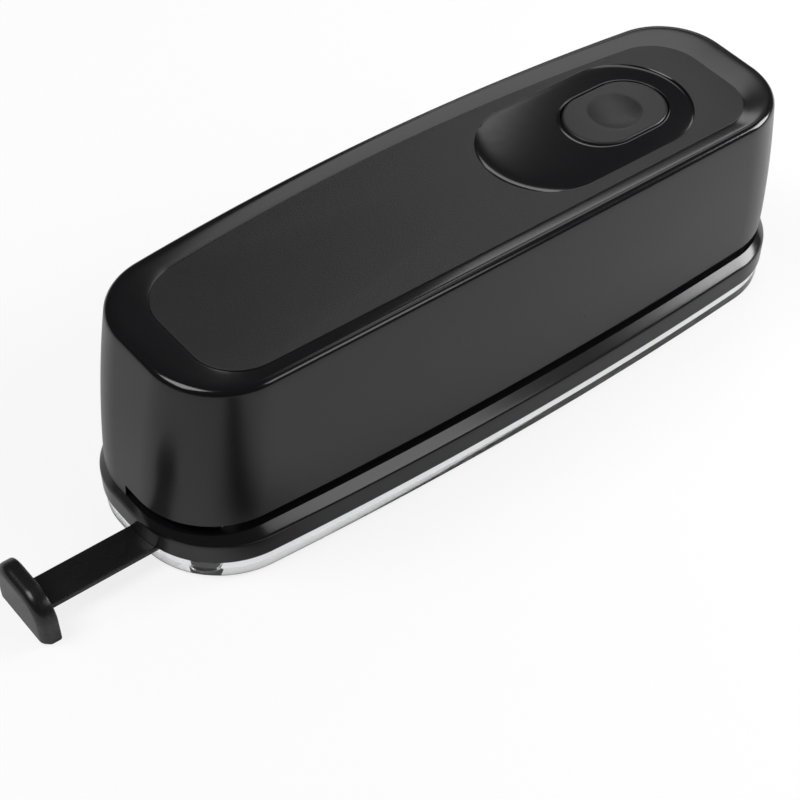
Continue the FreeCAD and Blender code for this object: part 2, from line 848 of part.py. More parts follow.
def make_punch_frame():
    """Bent steel frame: foot flange, web with an ear for the drive, and the guide flange."""
    front = pin_y - frame_front
    foot_back = web_front + sheet + foot_flange
    half = foot_half_length
    foot = box(-half, half, web_front, foot_back, deck_top, deck_top + sheet)
    web = box(-half, half, web_front, web_front + sheet, deck_top, web_top)
    flange = box(-half, half, front, web_front + sheet, slot_top, slot_top + sheet)
    lip = box(-half, half, front, front + sheet, slot_top, slot_top + frame_lip_height)
    ear = rounded_block(motor_x - ear_margin, gear_x + ear_gear_margin, web_front, web_front + sheet,
                        web_top - 2 * ear_corner, ear_top, ear_corner, Vector(0, 1, 0))
    frame = fuse_all([foot, web, flange, lip, ear])
    frame = frame.common(inside_cover(cover_wall + frame_end_gap))
    for x in (-pin_pitch, 0, pin_pitch):
        frame = frame.cut(upright(bush_neck_radius, x, pin_y, slot_top - overrun,
                                  slot_top + 2 * sheet))
    for x, end in gear_shafts():
        frame = frame.cut(along_y(gear_shaft_radius, x, gear_z, web_front - overrun,
                                  web_front + sheet + overrun))
    frame = frame.cut(along_y(motor_boss_radius, motor_x, gear_z, web_front - overrun,
                              web_front + sheet + overrun))
    for side in (-1, 1):
        frame = frame.cut(along_y(small_screw_radius, motor_x, gear_z + side * motor_screw_offset,
                                  web_front - overrun, web_front + sheet + overrun))
    for x in (-guide_pin_left, guide_pin_right):
        frame = frame.cut(along_y(guide_pin_radius, x, guide_pin_z, web_front - overrun,
                                  web_front + sheet + overrun))
    for x in frame_screw_places():
        frame = frame.cut(upright(screw_radius, x, frame_screw_y(), deck_top, slot_top))
    for x, y in case_posts():
        frame = frame.cut(upright(case_post_radius + screw_hole_play, x, y, deck_top - overrun,
                                  slot_top))
    return frame


def make_guide_bushes():
    """Three shouldered bushes that steer the pins."""
    shapes = []
    for x in (-pin_pitch, 0, pin_pitch):
        neck = upright(bush_neck_radius, x, pin_y, slot_top, slot_top + sheet)
        body = upright(bush_radius, x, pin_y, slot_top + sheet, slot_top + sheet + bush_height)
        bore = upright(pin_radius + pin_bore_gap, x, pin_y, slot_top - overrun, pin_top)
        shapes.append(neck.fuse(body).cut(bore))
    return Part.makeCompound(shapes)


def make_paper_guide():
    """Plastic strip that closes the slot's ceiling between cover wall and frame."""
    outer = prism(plan_wire(cover_plan(slot_top + paper_guide_thickness,
                                       cover_wall + paper_guide_gap), slot_top),
                  paper_guide_thickness)
    half = foot_half_length
    outer = outer.common(box(-half, half, -foot_front, slot_back - paper_guide_gap,
                             slot_top - overrun, web_top))
    inner = inside_cover(cover_wall + frame_end_gap - paper_guide_gap)
    inner = inner.common(box(-half, half, pin_y - frame_front - paper_guide_gap, foot_back,
                             deck_top, web_top))
    return outer.cut(inner)


def make_punch_pin(x):
    """Round punch with a hollow-ground tip and a slit that straddles the cam bar."""
    pin = upright(pin_radius, x, pin_y, pin_tip, pin_top)
    hollow = along_y(tip_hollow_radius, x, pin_tip + tip_hollow_depth - tip_hollow_radius,
                     pin_y - pin_radius - overrun, pin_y + pin_radius + overrun)
    half = bar_thickness / 2 + bar_play
    slit = box(x - pin_radius - overrun, x + pin_radius + overrun, pin_y - half, pin_y + half,
               pin_slit_bottom, pin_top + overrun)
    hole = along_y(cross_pin_radius, x, cross_pin_z, pin_y - pin_radius - overrun,
                   pin_y + pin_radius + overrun)
    return pin.cut(hollow).cut(slit).cut(hole)


def make_cross_pin(x):
    """Pin across a punch's slit; it rides in the cam bar's sloped slot."""
    return along_y(cross_pin_radius, x, cross_pin_z, pin_y - cross_pin_length / 2,
                   pin_y + cross_pin_length / 2)


def slot_tool(x_high, z_high, x_low, z_low, radius):
    """A round-ended slot through the bar between two centres."""
    run = Vector(x_low - x_high, 0, z_low - z_high)
    across = Vector(-run.z, 0, run.x).normalize() * radius
    ends = run / run.Length * radius
    start = Vector(x_high, bar_front - overrun, z_high)
    stop = Vector(x_low, bar_front - overrun, z_low)
    edges = [Part.Arc(start + across, start - ends, start - across).toShape(),
             Part.LineSegment(start - across, stop - across).toShape(),
             Part.Arc(stop - across, stop + ends, stop + across).toShape(),
             Part.LineSegment(stop + across, start + across).toShape()]
    return Part.Face(Part.Wire(edges)).extrude(Vector(0, bar_thickness + 2 * overrun, 0))


def make_cam_bar():
    """Sliding bar with three sloped slots, two level guide slots and a rack."""
    radius = cross_pin_radius + cam_slot_play
    left = -pin_pitch - bar_travel - radius - bar_end_margin
    right = pin_pitch + radius + bar_end_margin
    bar = rounded_block(left, right, bar_front, bar_front + bar_thickness, bar_bottom, bar_top,
                        bar_corner, Vector(0, 1, 0))
    tip = left + bar_travel + 2 * radius
    wedge = Part.makePolygon([Vector(left - overrun, bar_front - overrun, bar_top + overrun),
                              Vector(tip, bar_front - overrun, bar_top + overrun),
                              Vector(left - overrun, bar_front - overrun,
                                     bar_bottom + bar_top - rack_root + cross_pin_radius),
                              Vector(left - overrun, bar_front - overrun, bar_top + overrun)])
    bar = bar.cut(Part.Face(wedge).extrude(Vector(0, bar_thickness + 2 * overrun, 0)))
    bar = bar.cut(box(gear_x - rack_behind, gear_x + rack_ahead, bar_front - overrun,
                      bar_front + bar_thickness + overrun, rack_root, bar_top + overrun))
    bar = bar.fuse(rack_teeth_solid()).removeSplitter()
    for x in (-pin_pitch, 0, pin_pitch):
        bar = bar.cut(slot_tool(x, cross_pin_z, x - bar_travel, cross_pin_z - punch_stroke, radius))
    for x in (-guide_pin_left, guide_pin_right):
        bar = bar.cut(slot_tool(x, guide_pin_z, x - bar_travel, guide_pin_z,
                                guide_pin_radius + guide_pin_play))
    return bar


def rack_teeth_solid():
    """Straight-flanked teeth with a gap under the output pinion at rest."""
    pitch = math.pi * rack_module
    tip = rack_pitch_line + addendum_share * rack_module
    half = pitch / 4 - gear_backlash / 4
    slope = math.tan(pressure_angle)
    low = half + (rack_pitch_line - rack_root) * slope
    high = half - (tip - rack_pitch_line) * slope
    teeth = []
    for index in range(rack_teeth):
        x = gear_x + pitch * (1.5 - index)
        y = bar_front
        base = rack_root - gear_backlash
        points = [Vector(x - low, y, base), Vector(x - low, y, rack_root), Vector(x - high, y, tip),
                  Vector(x + high, y, tip), Vector(x + low, y, rack_root), Vector(x + low, y, base)]
        face = Part.Face(Part.makePolygon(points + [points[0]]))
        teeth.append(face.extrude(Vector(0, bar_thickness, 0)))
    return fuse_all(teeth + [box(gear_x - rack_behind, gear_x + rack_ahead, bar_front,
                                 bar_front + bar_thickness, rack_root - bar_thickness, rack_root)])


def make_bar_guide_pins():
    """Fixed pins that keep the bar level."""
    shapes = []
    for x in (-guide_pin_left, guide_pin_right):
        shapes.append(along_y(guide_pin_radius, x, guide_pin_z, bar_front - guide_pin_reach,
                              web_front + sheet))
    return Part.makeCompound(shapes)


def involute(angle):
    """The involute function of a pressure angle."""
    return math.tan(angle) - angle


def gear_solid(teeth, module, center_x, y_front, width, tooth_angle):
    """A spur gear whose flanks follow the involute in short chords. One tooth points along
    tooth_angle, measured from +X towards +Z."""
    pitch_radius = teeth * module / 2
    base_radius = pitch_radius * math.cos(pressure_angle)
    tip_radius = pitch_radius + addendum_share * module
    root_radius = pitch_radius - dedendum_share * module
    half_pitch = math.pi / (2 * teeth) - gear_backlash / (4 * pitch_radius)
    start = max(base_radius, root_radius)
    flank = []
    for share in flank_shares:
        radius = start + (tip_radius - start) * share
        angle = half_pitch + involute(pressure_angle) - involute(math.acos(min(base_radius / radius, 1)))
        flank.append((radius, angle))
    if root_radius < base_radius:
        flank.insert(0, (root_radius, flank[0][1]))
    points = []
    for index in range(teeth):
        middle = tooth_angle + 2 * math.pi * index / teeth
        side = [(radius, middle - angle) for radius, angle in flank]
        side += [(radius, middle + angle) for radius, angle in reversed(flank)]
        points += [Vector(center_x + r * math.cos(a), y_front, gear_z + r * math.sin(a))
                   for r, a in side]
    face = Part.Face(Part.makePolygon(points + [points[0]]))
    return face.extrude(Vector(0, width, 0))


def wheel_solid(center_x, y_front, tooth_angle):
    """A large gear with a thinned web on both faces."""
    wheel = gear_solid(wheel_teeth, gear_module, center_x, y_front, gear_width, tooth_angle)
    outer = wheel_pitch_radius - gear_rim_width
    for y in (y_front, y_front + gear_width - gear_web_recess):
        ring = along_y(outer, center_x, gear_z, y, y + gear_web_recess)
        ring = ring.cut(along_y(gear_hub_radius + pinion_pitch_radius / 2, center_x, gear_z,
                                y - overrun, y + gear_web_recess + overrun))
        wheel = wheel.cut(ring)
    return wheel


def bored(shape, center_x, radius):
    """The shape with a bore on a gear axis."""
    return shape.cut(along_y(radius, center_x, gear_z, bar_front - 4 * overrun, web_front + overrun))


def make_output_gear():
    """Wheel, neck and the pinion that drives the rack."""
    front = second_plane - gear_width
    wheel = wheel_solid(gear_x, front, math.pi - math.pi / wheel_teeth)
    hub = along_y(gear_hub_radius, gear_x, gear_z, second_plane, first_plane)
    pinion_front = pin_y - output_pinion_width / 2
    neck = along_y(gear_hub_radius, gear_x, gear_z, pinion_front + output_pinion_width, front)
    pinion = gear_solid(pinion_teeth, rack_module, gear_x, pinion_front, output_pinion_width,
                        -math.pi / 2)
    return bored(fuse_all([wheel, hub, neck, pinion]), gear_x, gear_shaft_radius + gear_shaft_play)


def make_reduction_gear():
    """Wheel against the web and a pinion in front of it."""
    wheel = wheel_solid(reduction_x, first_plane - gear_width, math.pi)
    front = second_plane - gear_width
    pinion = gear_solid(pinion_teeth, gear_module, reduction_x, front,
                        first_plane - gear_width - front, 0)
    return bored(fuse_all([wheel, pinion]), reduction_x, gear_shaft_radius + gear_shaft_play)


def gear_shafts():
    """Each fixed shaft's place and the front of the gear it carries."""
    return [(gear_x, pin_y - output_pinion_width / 2), (reduction_x, second_plane - gear_width)]


def make_gear_shafts():
    """Stub shafts riveted in the frame's ear."""
    shapes = [along_y(gear_shaft_radius, x, gear_z, front - shaft_end, web_front + sheet)
              for x, front in gear_shafts()]
    return Part.makeCompound(shapes)


def make_shaft_clips():
    """Open rings that keep the gears on their shafts."""
    shapes = []
    for x, front in gear_shafts():
        y = front - clip_gap
        ring = along_y(clip_radius, x, gear_z, y - clip_thickness, y)
        ring = ring.cut(along_y(gear_shaft_radius, x, gear_z, y - overrun, y + overrun))
        gap = box(x - gear_shaft_radius / 2, x + gear_shaft_radius / 2, y - overrun, y + overrun,
                  gear_z, gear_z + clip_radius + overrun)
        shapes.append(ring.cut(gap))
    return Part.makeCompound(shapes)


def make_motor_pinion():
    """Pinion on the motor shaft."""
    front = first_plane - gear_width
    pinion = gear_solid(pinion_teeth, gear_module, motor_x, front, gear_width,
                        math.pi / pinion_teeth)
    return bored(pinion, motor_x, motor_shaft_radius)


def make_motor_shaft():
    """Motor shaft from the pinion into the motor."""
    return along_y(motor_shaft_radius, motor_x, gear_z, first_plane - gear_width - gear_face_gap,
                   web_front + sheet + motor_shaft_depth - overrun)


def make_motor_body():
    """Steel can with two flats, a front boss and screw holes."""
    back = web_front + sheet
    can = along_y(motor_radius, motor_x, gear_z, back, back + motor_length)
    flats = box(motor_x - motor_flat, motor_x + motor_flat, back - overrun,
                back + motor_length + overrun, gear_z - motor_radius, gear_z + motor_radius)
    can = can.common(flats)
    boss = along_y(motor_boss_radius, motor_x, gear_z, back - motor_boss_height, back)
    body = can.fuse(boss)
    body = body.cut(along_y(motor_shaft_radius + gear_shaft_play, motor_x, gear_z,
                            back - sheet - overrun, back + motor_shaft_depth))
    for side in (-1, 1):
        body = body.cut(along_y(small_screw_radius, motor_x, gear_z + side * motor_screw_offset,
                                back - overrun, back + small_screw_length))
    return body


def make_motor_end_cap():
    """Plastic cap with two terminals at the motor's rear."""
    back = web_front + sheet + motor_length
    cap = along_y(motor_cap_radius, motor_x, gear_z, back, back + motor_cap_height)
    cap = cap.common(box(motor_x - motor_flat, motor_x + motor_flat, back,
                         back + motor_cap_height + overrun, gear_z - motor_radius,
                         gear_z + motor_radius))
    terminals = [box(motor_x - terminal_width / 2, motor_x + terminal_width / 2,
                     back + motor_cap_height / 2, back + motor_cap_height + terminal_length,
                     gear_z + side * terminal_offset - terminal_thickness / 2,
                     gear_z + side * terminal_offset + terminal_thickness / 2)
                 for side in (-1, 1)]
    return fuse_all([cap] + terminals)


def make_motor_screws():
    """Two small screws through the ear into the motor."""
    shapes = []
    for side in (-1, 1):
        z = gear_z + side * motor_screw_offset
        shank = along_y(small_screw_radius, motor_x, z, web_front,
                        web_front + sheet + small_screw_length)
        head = along_y(small_head_radius, motor_x, z, web_front - small_head_height, web_front)
        shapes.append(shank.fuse(head))
    return Part.makeCompound(shapes)


def make_battery_box():
    """Open-backed box for the cells, on four short legs."""
    left, right, floor, top = battery_pocket()
    wall = battery_wall
    front = battery_y - battery_radius - battery_play
    outer = box(left - wall, right + wall, front - wall, foot_back, floor - wall, top + wall)
    inside = cover_form(deck_top, ceiling, cover_wall + box_cover_gap)
    pocket = box(left, right, front, foot_back + overrun, floor, top)
    shell = outer.common(inside).cut(pocket)
    legs = []
    for x in (left + contact_size, right - contact_size):
        for y in (front + wall, battery_y + battery_radius - wall):
            legs.append(upright(wall * 2, x, y, deck_top, floor - wall / 2))
    return fuse_all([shell] + legs)


def battery_rows():
    """Heights of the three rows of cells."""
    floor = battery_pocket()[2]
    first = floor + battery_radius + battery_play / 2
    return [first + step * battery_pitch for step in range(3)]


def make_batteries():
    """Six round cells in three rows, end to end in pairs."""
    cells = []
    for row, z in enumerate(battery_rows()):
        way = 1 if row % 2 == 0 else -1
        for place in (-1, 1):
            center = battery_x + place * (battery_length + battery_nub_height) / 2
            start = center - way * (battery_length + battery_nub_height) / 2
            axis = Vector(way, 0, 0)
            body = rod(battery_radius, battery_length, Vector(start, battery_y, z), axis)
            nub = rod(battery_nub_radius, battery_nub_height,
                      Vector(start + way * battery_length, battery_y, z), axis)
            cells.append(body.fuse(nub))
    return Part.makeCompound(cells)


def make_battery_contacts():
    """A sprung plate with a raised dome at both ends of each row."""
    left, right = battery_pocket()[:2]
    half = contact_size / 2
    plates = []
    for z in battery_rows():
        for wall_x, way in ((left, 1), (right, -1)):
            plate = box(min(wall_x, wall_x + way * contact_thickness),
                        max(wall_x, wall_x + way * contact_thickness),
                        battery_y - half, battery_y + half, z - half, z + half)
            dome = Part.makeCone(battery_nub_radius, battery_nub_radius / 2,
                                 contact_room - contact_thickness,
                                 Vector(wall_x + way * contact_thickness, battery_y, z),
                                 Vector(way, 0, 0))
            plates.append(plate.fuse(dome))
    return Part.makeCompound(plates)


def make_dc_jack():
    """Round power inlet with a centre pin, on a leg, flush with the back wall."""
    face = bowed_edge(cover_plan(jack_z, 0), jack_x, True) - jack_flush
    body_face = face - cover_wall - jack_flush
    half = jack_body_half
    body = box(jack_x - half, jack_x + half, body_face - jack_body_length, body_face,
               deck_top, jack_z + half)
    collar = along_y(jack_collar_radius, jack_x, jack_z, body_face - overrun, face)
    hole = along_y(jack_hole_radius, jack_x, jack_z, face - jack_hole_depth, face + overrun)
    pin = along_y(jack_pin_radius, jack_x, jack_z, face - jack_hole_depth - overrun,
                  face - cover_wall / 2)
    return body.fuse(collar).cut(hole).fuse(pin)


def make_circuit_board():
    """Board hung from the cover's posts."""
    board = box(board_left, board_right, -board_front, board_back, board_z,
                board_z + board_thickness)
    for x, y in board_posts():
        board = board.cut(upright(small_screw_radius, x, y, board_z - overrun,
                                  board_z + board_thickness + overrun))
    return board


def make_board_screws():
    """Screws up into the posts."""
    shapes = []
    for x, y in board_posts():
        screw = screw_down(x, y, board_z, small_screw_length, small_screw_radius,
                           small_head_radius, small_head_height)
        shapes.append(turned(screw, x, y, board_z))
    return Part.makeCompound(shapes)


def make_micro_switch():
    """Switch body on the board with a well for its plunger."""
    low = board_z + board_thickness
    body = box(button_center_x - switch_half_length, button_center_x + switch_half_length,
               -switch_half_width, switch_half_width, low, low + switch_height)
    well = upright(plunger_radius + plunger_play, button_center_x, 0,
                   low + switch_height - plunger_depth - button_travel - stem_gap,
                   low + switch_height + overrun)
    return body.cut(well)


def make_switch_plunger():
    """Round plunger under the button's stem."""
    top = board_z + board_thickness + switch_height
    return upright(plunger_radius, button_center_x, 0, top - plunger_depth, top + plunger_proud)


def make_case_screws():
    """Long screws from under the deck into the cover's posts."""
    shapes = []
    for x, y in case_posts():
        screw = screw_down(x, y, deck_bottom, case_screw_length, screw_radius, screw_head_radius,
                           screw_head_height)
        shapes.append(turned(screw, x, y, deck_bottom))
    return Part.makeCompound(shapes)


def make_frame_screws():
    """Screws through the foot flange into the deck."""
    seat = deck_top + sheet
    shapes = [screw_down(x, frame_screw_y(), seat, frame_screw_length + sheet - screw_head_height,
                         screw_radius, screw_head_radius, screw_head_height)
              for x in frame_screw_places()]
    return Part.makeCompound(shapes)


def main():
    """Build every piece and write it."""
    os.makedirs("parts", exist_ok=True)
    shell = cover_shell()
    save("top_cover", make_top_cover(shell))
    save("battery_door", make_battery_door(shell))
    save("top_panel", make_top_panel())
    save("button_bezel", make_button_bezel())
    save("push_button", make_push_button())
    save("base", make_base())
    save("die_plate", make_die_plate())
    save("chip_tray", make_chip_tray())
    save("rubber_feet", make_rubber_feet())
    save("edge_guide", make_edge_guide())
    save("punch_frame", make_punch_frame())
    save("guide_bushes", make_guide_bushes())
    save("paper_guide", make_paper_guide())
    for name, x in (("left", -pin_pitch), ("middle", 0), ("right", pin_pitch)):
        save("punch_pin_" + name, make_punch_pin(x))
        save("cross_pin_" + name, make_cross_pin(x))
    save("cam_bar", make_cam_bar())
    save("bar_guide_pins", make_bar_guide_pins())
    save("output_gear", make_output_gear())
    save("reduction_gear", make_reduction_gear())
    save("gear_shafts", make_gear_shafts())
    save("shaft_clips", make_shaft_clips())
    save("motor_pinion", make_motor_pinion())
    save("motor_shaft", make_motor_shaft())
    save("motor_body", make_motor_body())
    save("motor_end_cap", make_motor_end_cap())
    save("motor_screws", make_motor_screws())
    save("battery_box", make_battery_box())
    save("batteries", make_batteries())
    save("battery_contacts", make_battery_contacts())
    save("dc_jack", make_dc_jack())
    save("circuit_board", make_circuit_board())
    save("board_screws", make_board_screws())
    save("micro_switch", make_micro_switch())
    save("switch_plunger", make_switch_plunger())
    save("case_screws", make_case_screws())
    save("frame_screws", make_frame_screws())


main()
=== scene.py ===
"""Looks of an electric desk punch: black housing, inset top panel, oblong button, clear
chip tray and pull-out edge guide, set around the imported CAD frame."""

import json
import math

import bpy
import numpy as np
from mathutils import Matrix, Vector


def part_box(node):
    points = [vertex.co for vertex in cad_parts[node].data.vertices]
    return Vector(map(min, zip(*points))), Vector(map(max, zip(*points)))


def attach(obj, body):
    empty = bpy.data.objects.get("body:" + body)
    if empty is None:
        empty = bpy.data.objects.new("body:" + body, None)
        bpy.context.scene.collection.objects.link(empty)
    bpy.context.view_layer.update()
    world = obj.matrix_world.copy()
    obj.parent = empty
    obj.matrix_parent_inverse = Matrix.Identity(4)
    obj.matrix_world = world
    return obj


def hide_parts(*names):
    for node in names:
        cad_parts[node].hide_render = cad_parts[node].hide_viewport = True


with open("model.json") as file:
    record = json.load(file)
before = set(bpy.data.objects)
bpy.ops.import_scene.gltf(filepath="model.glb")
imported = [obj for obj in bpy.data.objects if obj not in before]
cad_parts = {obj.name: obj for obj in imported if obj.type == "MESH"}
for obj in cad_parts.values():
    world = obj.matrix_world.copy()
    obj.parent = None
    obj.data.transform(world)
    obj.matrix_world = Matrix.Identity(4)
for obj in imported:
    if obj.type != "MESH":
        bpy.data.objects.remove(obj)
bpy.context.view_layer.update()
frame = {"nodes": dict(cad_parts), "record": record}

# The housing's middle on the desk, in metres
MIDDLE_Y = 0.00045
cover_low, cover_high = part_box("top_cover")
MIDDLE = np.array([(cover_low[0] + cover_high[0]) / 2, MIDDLE_Y, 0.0])


def metres(points):
    """Millimetres about the housing's middle, as metres in the row's frame."""
    return np.asarray(points, dtype=float) * 0.001 + MIDDLE


def span(node, axis):
    """Where a CAD node starts and ends along an axis, in millimetres about the middle, to a
    hundredth."""
    axis = "xyz".index(axis)
    return [float(round((corner[axis] - MIDDLE[axis]) * 1000, 2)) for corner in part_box(node)]


# All sizes below are in millimetres about the housing's middle. A plan holds half length,
# front, back, front bow, back bow, end bow in front, end bow behind, front corner and back
# corner; front and back are measured from the X axis.
FOOT = np.array([130.4, 37.0, 39.4, 5.3, 8.5, 1.0, 1.0, 29.0, 26.0])
RIM = np.array([122.1, 35.4, 37.8, 0.3, 8.6, 0.3, 0.3, 25.3, 24.6])
PANEL = np.array([109.1, 28.3, 29.8, 0.3, 8.6, 0.3, 0.3, 15.9, 18.2])
BASE = np.array([132.4, 40.7, 39.8, 5.9, 8.5, 13.0, 1.0, 31.6, 26.4])
FRONT_HALF = [0, 1, 3, 5, 7]
BACK_HALF = [0, 2, 4, 6, 8]
INSET_SHARE = np.array([1, 1, 1, 0, 0, 0, 0, 1, 1])

# Cover and panel
DECK_TOP, RIM_HEIGHT = span("top_cover", "z")
PANEL_BOTTOM, PANEL_TOP = span("top_panel", "z")
CEILING = 73.5
COVER_WALL = 2.3
WALL_BULGE = 0.95
RIM_ROUND = 2.2
BORDER_DROP = 0.9
BORDER_EASE = 0.11
BORDER_TUCK = 0.05
SLOT_TOP = 22.8
SLOT_BACK = 2.3
PANEL_GAP = 0.12
PANEL_ROUND = 0.2

# Battery door, as left, right, low and high, with its grip grooves, and the power inlet
DOOR = (-21.1, 84.9, 23.7, 65.6)
DOOR_CORNER = 5.0
DOOR_GAP = 0.3
GRIP_ENDS = (24.0, 40.0)
GRIP_TOPS = (60.6, 57.8, 55.0)
GRIP_HEIGHT = 1.4
GRIP_CORNER = 0.45
GRIP_FLOOR = 38.4
GRIP_STEP = 0.35
INLET_X = -45.0
INLET_Z = 29.0
INLET_RADIUS = 4.4

# Bezel and button, as middle, half length and half width
bezel_left, bezel_right = span("button_bezel", "x")
BEZEL = ((bezel_left + bezel_right) / 2, (bezel_right - bezel_left) / 2, span("button_bezel", "y")[1])
BEZEL_FIT = 0.03
BEZEL_ROUND = 0.06
HOLE_CHAMFER = 0.04
HOLLOW = 0.5
HOLLOW_EASE = 0.05
LIP_ROUND = 0.08
LIP_HALFWAY = 0.03
BUTTON = (67.0, 19.3, 13.5)
BUTTON_GAP = 0.45
BUTTON_ROUND = 0.8
BUTTON_SIDE_TOP = 76.2
CROWN_TOP = 78.0
CROWN_RADIUS = 372.0
DIMPLE_FLOOR = 76.7
DIMPLE_RADIUS = 38.5
DIMPLE_BLEND = 0.02
DIMPLE_LIFT = 0.004
FLANGE_REACH = 1.2
FLANGE_LOW = CEILING - 1.3
FLANGE_HIGH = CEILING - 0.1
STEM_RADIUS = 2.6
STEM_LOW = span("push_button", "z")[0]
STEM_SINK = 0.1

# Base, with the seat of the die plate and the chip holes under it
BASE_BOTTOM = 8.2
BASE_WALL = 2.2
BASE_CHAMFER = 0.15
BAND_MIDDLE = 12.0
BAND_TOP = 15.6
BEND_DROP = 0.8
BEND_SHARE = 0.22
DECK_BOTTOM = 15.4
PIN_Y = -20.5
PIN_PLACES = (-108.0, 0.0, 108.0)
CHIP_HOLE = 4.2
CHIP_HOLE_LOW = 12.0
CHIP_HOLE_HIGH = 18.0

# Edge guide, its loops under the base and its head
GUIDE_Y = -7.2
GUIDE_LOW = 5.9
GUIDE_TOP = 8.1
GUIDE_HALF = 6.4
GUIDE_FIT = 0.3
PASSAGE_END = -120.0
LOOP_WALL = 1.3
LOOP_CORNER_IN = 0.2
LOOP_CORNER_OUT = 0.5
LOOP_SINK = 0.1
LOOP_STARTS = (-125.5, -98.0)
LOOP_LENGTHS = (8.0, 12.0)
HEAD_OUTER, ARM_TAIL = span("edge_guide", "x")
HEAD_LOW, HEAD_TOP = span("edge_guide", "z")
HEAD_INNER = -170.2
HEAD_HALF = 14.0
HEAD_SHOULDER = 9.5
HEAD_ROUND_IN = 0.8
HEAD_ROUND_OUT = 3.2
HEAD_LIFT = 0.5
ARM_END = -173.0
ARM_ROUND = 0.5
RING_PLACES = (-154.5, -140.9)
RING_RADIUS = 3.4
RING_LINE = 0.25
RING_DEPTH = 0.1
STOP_LENGTH = 1.5
STOP_HALF = 3.2
STOP_CORNER = 0.4
STOP_LIFT = 0.2
STOP_TOP = 9.5

# Chip tray: its wall from the outer ledge over the lip to the floor, as insets from the
# base's plan and heights, and the small forms that stand on its floor
TRAY_BOTTOM = span("chip_tray", "z")[0]
TRAY_FLOOR = 2.4
TRAY_ROUND = 0.9
TRAY_INSETS = np.array([0.6, 0.72, 2.5, 2.5, 2.7, 3.6, 3.6, 2.6, 2.6, 3.4])
TRAY_HEIGHTS = np.array([8.0, 8.12, 8.12, 10.4, 10.6, 10.6, 5.8, 5.8, 3.2, TRAY_FLOOR])
TRAY_INSIDE = 2.6
FLOOR_SINK = 0.1
RIB_PLACES = (-110.0, -46.0, 18.0, 82.0)
RIB_HALF = 0.8
RIB_SINK = 0.4
RIB_REACH = 2.4
RIB_CORNER = 0.3
RIB_TOP = 8.1
BOSS_PLACES = (-37.7, 37.7)
BOSS_RADIUS = 4.2
BOSS_IN = 1.6
BOSS_TOP = 7.8
PAD_PLACES = [(x, y) for x in (-118.0, 118.0) for y in (-22.0, 22.0)]
PAD_RADIUS = 5.0
PAD_TOP = span("rubber_feet", "z")[1]
SEAT_RADIUS = 6.8
SEAT_TOP = 4.0
NOTCH_FIT = 0.6
NOTCH_END = -115.9
NOTCH_TOP = 12.0

# Places past the end and the side, above the deck and the arm, and inside the back wall,
# where carving tools start or stop
PAST_END = 140.0
PAST_SIDE = 45.0
PAST_DECK = 21.0
PAST_ARM = 10.0
INSIDE_BACK = 20.6


# Outlines

SIDE_STEPS = 44
CORNER_STEPS = 34
END_STEPS = 16


def quarter(length, width, side_bow, end_bow, corner):
    """A quarter outline per row. A long arc of radius (length^2 + bow^2) / (2 bow) falls from
    (0, width), a corner arc touches it, and an end arc built the same way runs to (length, 0)."""
    side_radius = (length ** 2 + side_bow ** 2) / (2 * side_bow)
    end_radius = (width ** 2 + end_bow ** 2) / (2 * end_bow)
    side_y = width - side_radius
    end_x = length - end_radius
    gap = np.hypot(end_x, side_y)
    from_side = side_radius - corner
    from_end = end_radius - corner
    along = (from_side ** 2 - from_end ** 2 + gap ** 2) / (2 * gap)
    rise = np.sqrt(np.maximum(from_side ** 2 - along ** 2, 0))
    ux, uy = end_x / gap, -side_y / gap
    center_x = ux * along + uy * rise
    center_y = side_y + uy * along - ux * rise
    first = np.arctan2(center_y - side_y, center_x)
    last = np.arctan2(center_y, center_x - end_x)
    side = math.pi / 2 + (first - math.pi / 2) * np.arange(SIDE_STEPS) / SIDE_STEPS
    turn = first + (last - first) * np.arange(CORNER_STEPS) / CORNER_STEPS
    end = last * (1 - np.arange(END_STEPS + 1) / END_STEPS)
    x = [side_radius * np.cos(side), center_x + corner * np.cos(turn), end_x + end_radius * np.cos(end)]
    y = [side_y + side_radius * np.sin(side), center_y + corner * np.sin(turn), end_radius * np.sin(end)]
    return np.concatenate(x, axis=1), np.concatenate(y, axis=1)


def loops(plans, heights):
    """Closed outlines, one per row: two back quarters and two front quarters joined
    anticlockwise from the right end, each lifted to its height."""
    plans = np.atleast_2d(plans).astype(float)
    back_x, back_y = quarter(*(plans[:, i:i + 1] for i in BACK_HALF))
    front_x, front_y = quarter(*(plans[:, i:i + 1] for i in FRONT_HALF))
    x = np.concatenate([back_x[:, ::-1], -back_x[:, 1:], -front_x[:, -2::-1], front_x[:, 1:-1]], axis=1)
    y = np.concatenate([back_y[:, ::-1], back_y[:, 1:], -front_y[:, -2::-1], -front_y[:, 1:-1]], axis=1)
    z = np.broadcast_to(np.reshape(heights, (-1, 1)), x.shape)
    return np.stack([x, y, z], axis=2)


def inset(plan, amount):
    """The plan moved inwards by an amount, or by each of several, with its bows kept."""
    return plan - np.reshape(amount, (-1, 1)) * INSET_SHARE


def cover_plans(heights, amount):
    """Foot and rim plans mixed by height, and swollen by a parabola in between."""
    share = (np.reshape(heights, (-1, 1)) - DECK_TOP) / (RIM_HEIGHT - DECK_TOP)
    swell = (4 * WALL_BULGE * share * (1 - share))[:, 0]
    return inset(FOOT + (RIM - FOOT) * share, amount - swell)


def mixed(first, second, shares):
    """Rows between two plans or two loops, by share."""
    shares = np.reshape(shares, (-1,) + (1,) * np.ndim(first))
    return first + (second - first) * shares


def to_middle(loop, height, shares):
    """Rows of a loop drawn towards the middle of the housing at a height."""
    return mixed(np.ones_like(loop) * np.array([0.0, 0.0, height]), loop, shares)


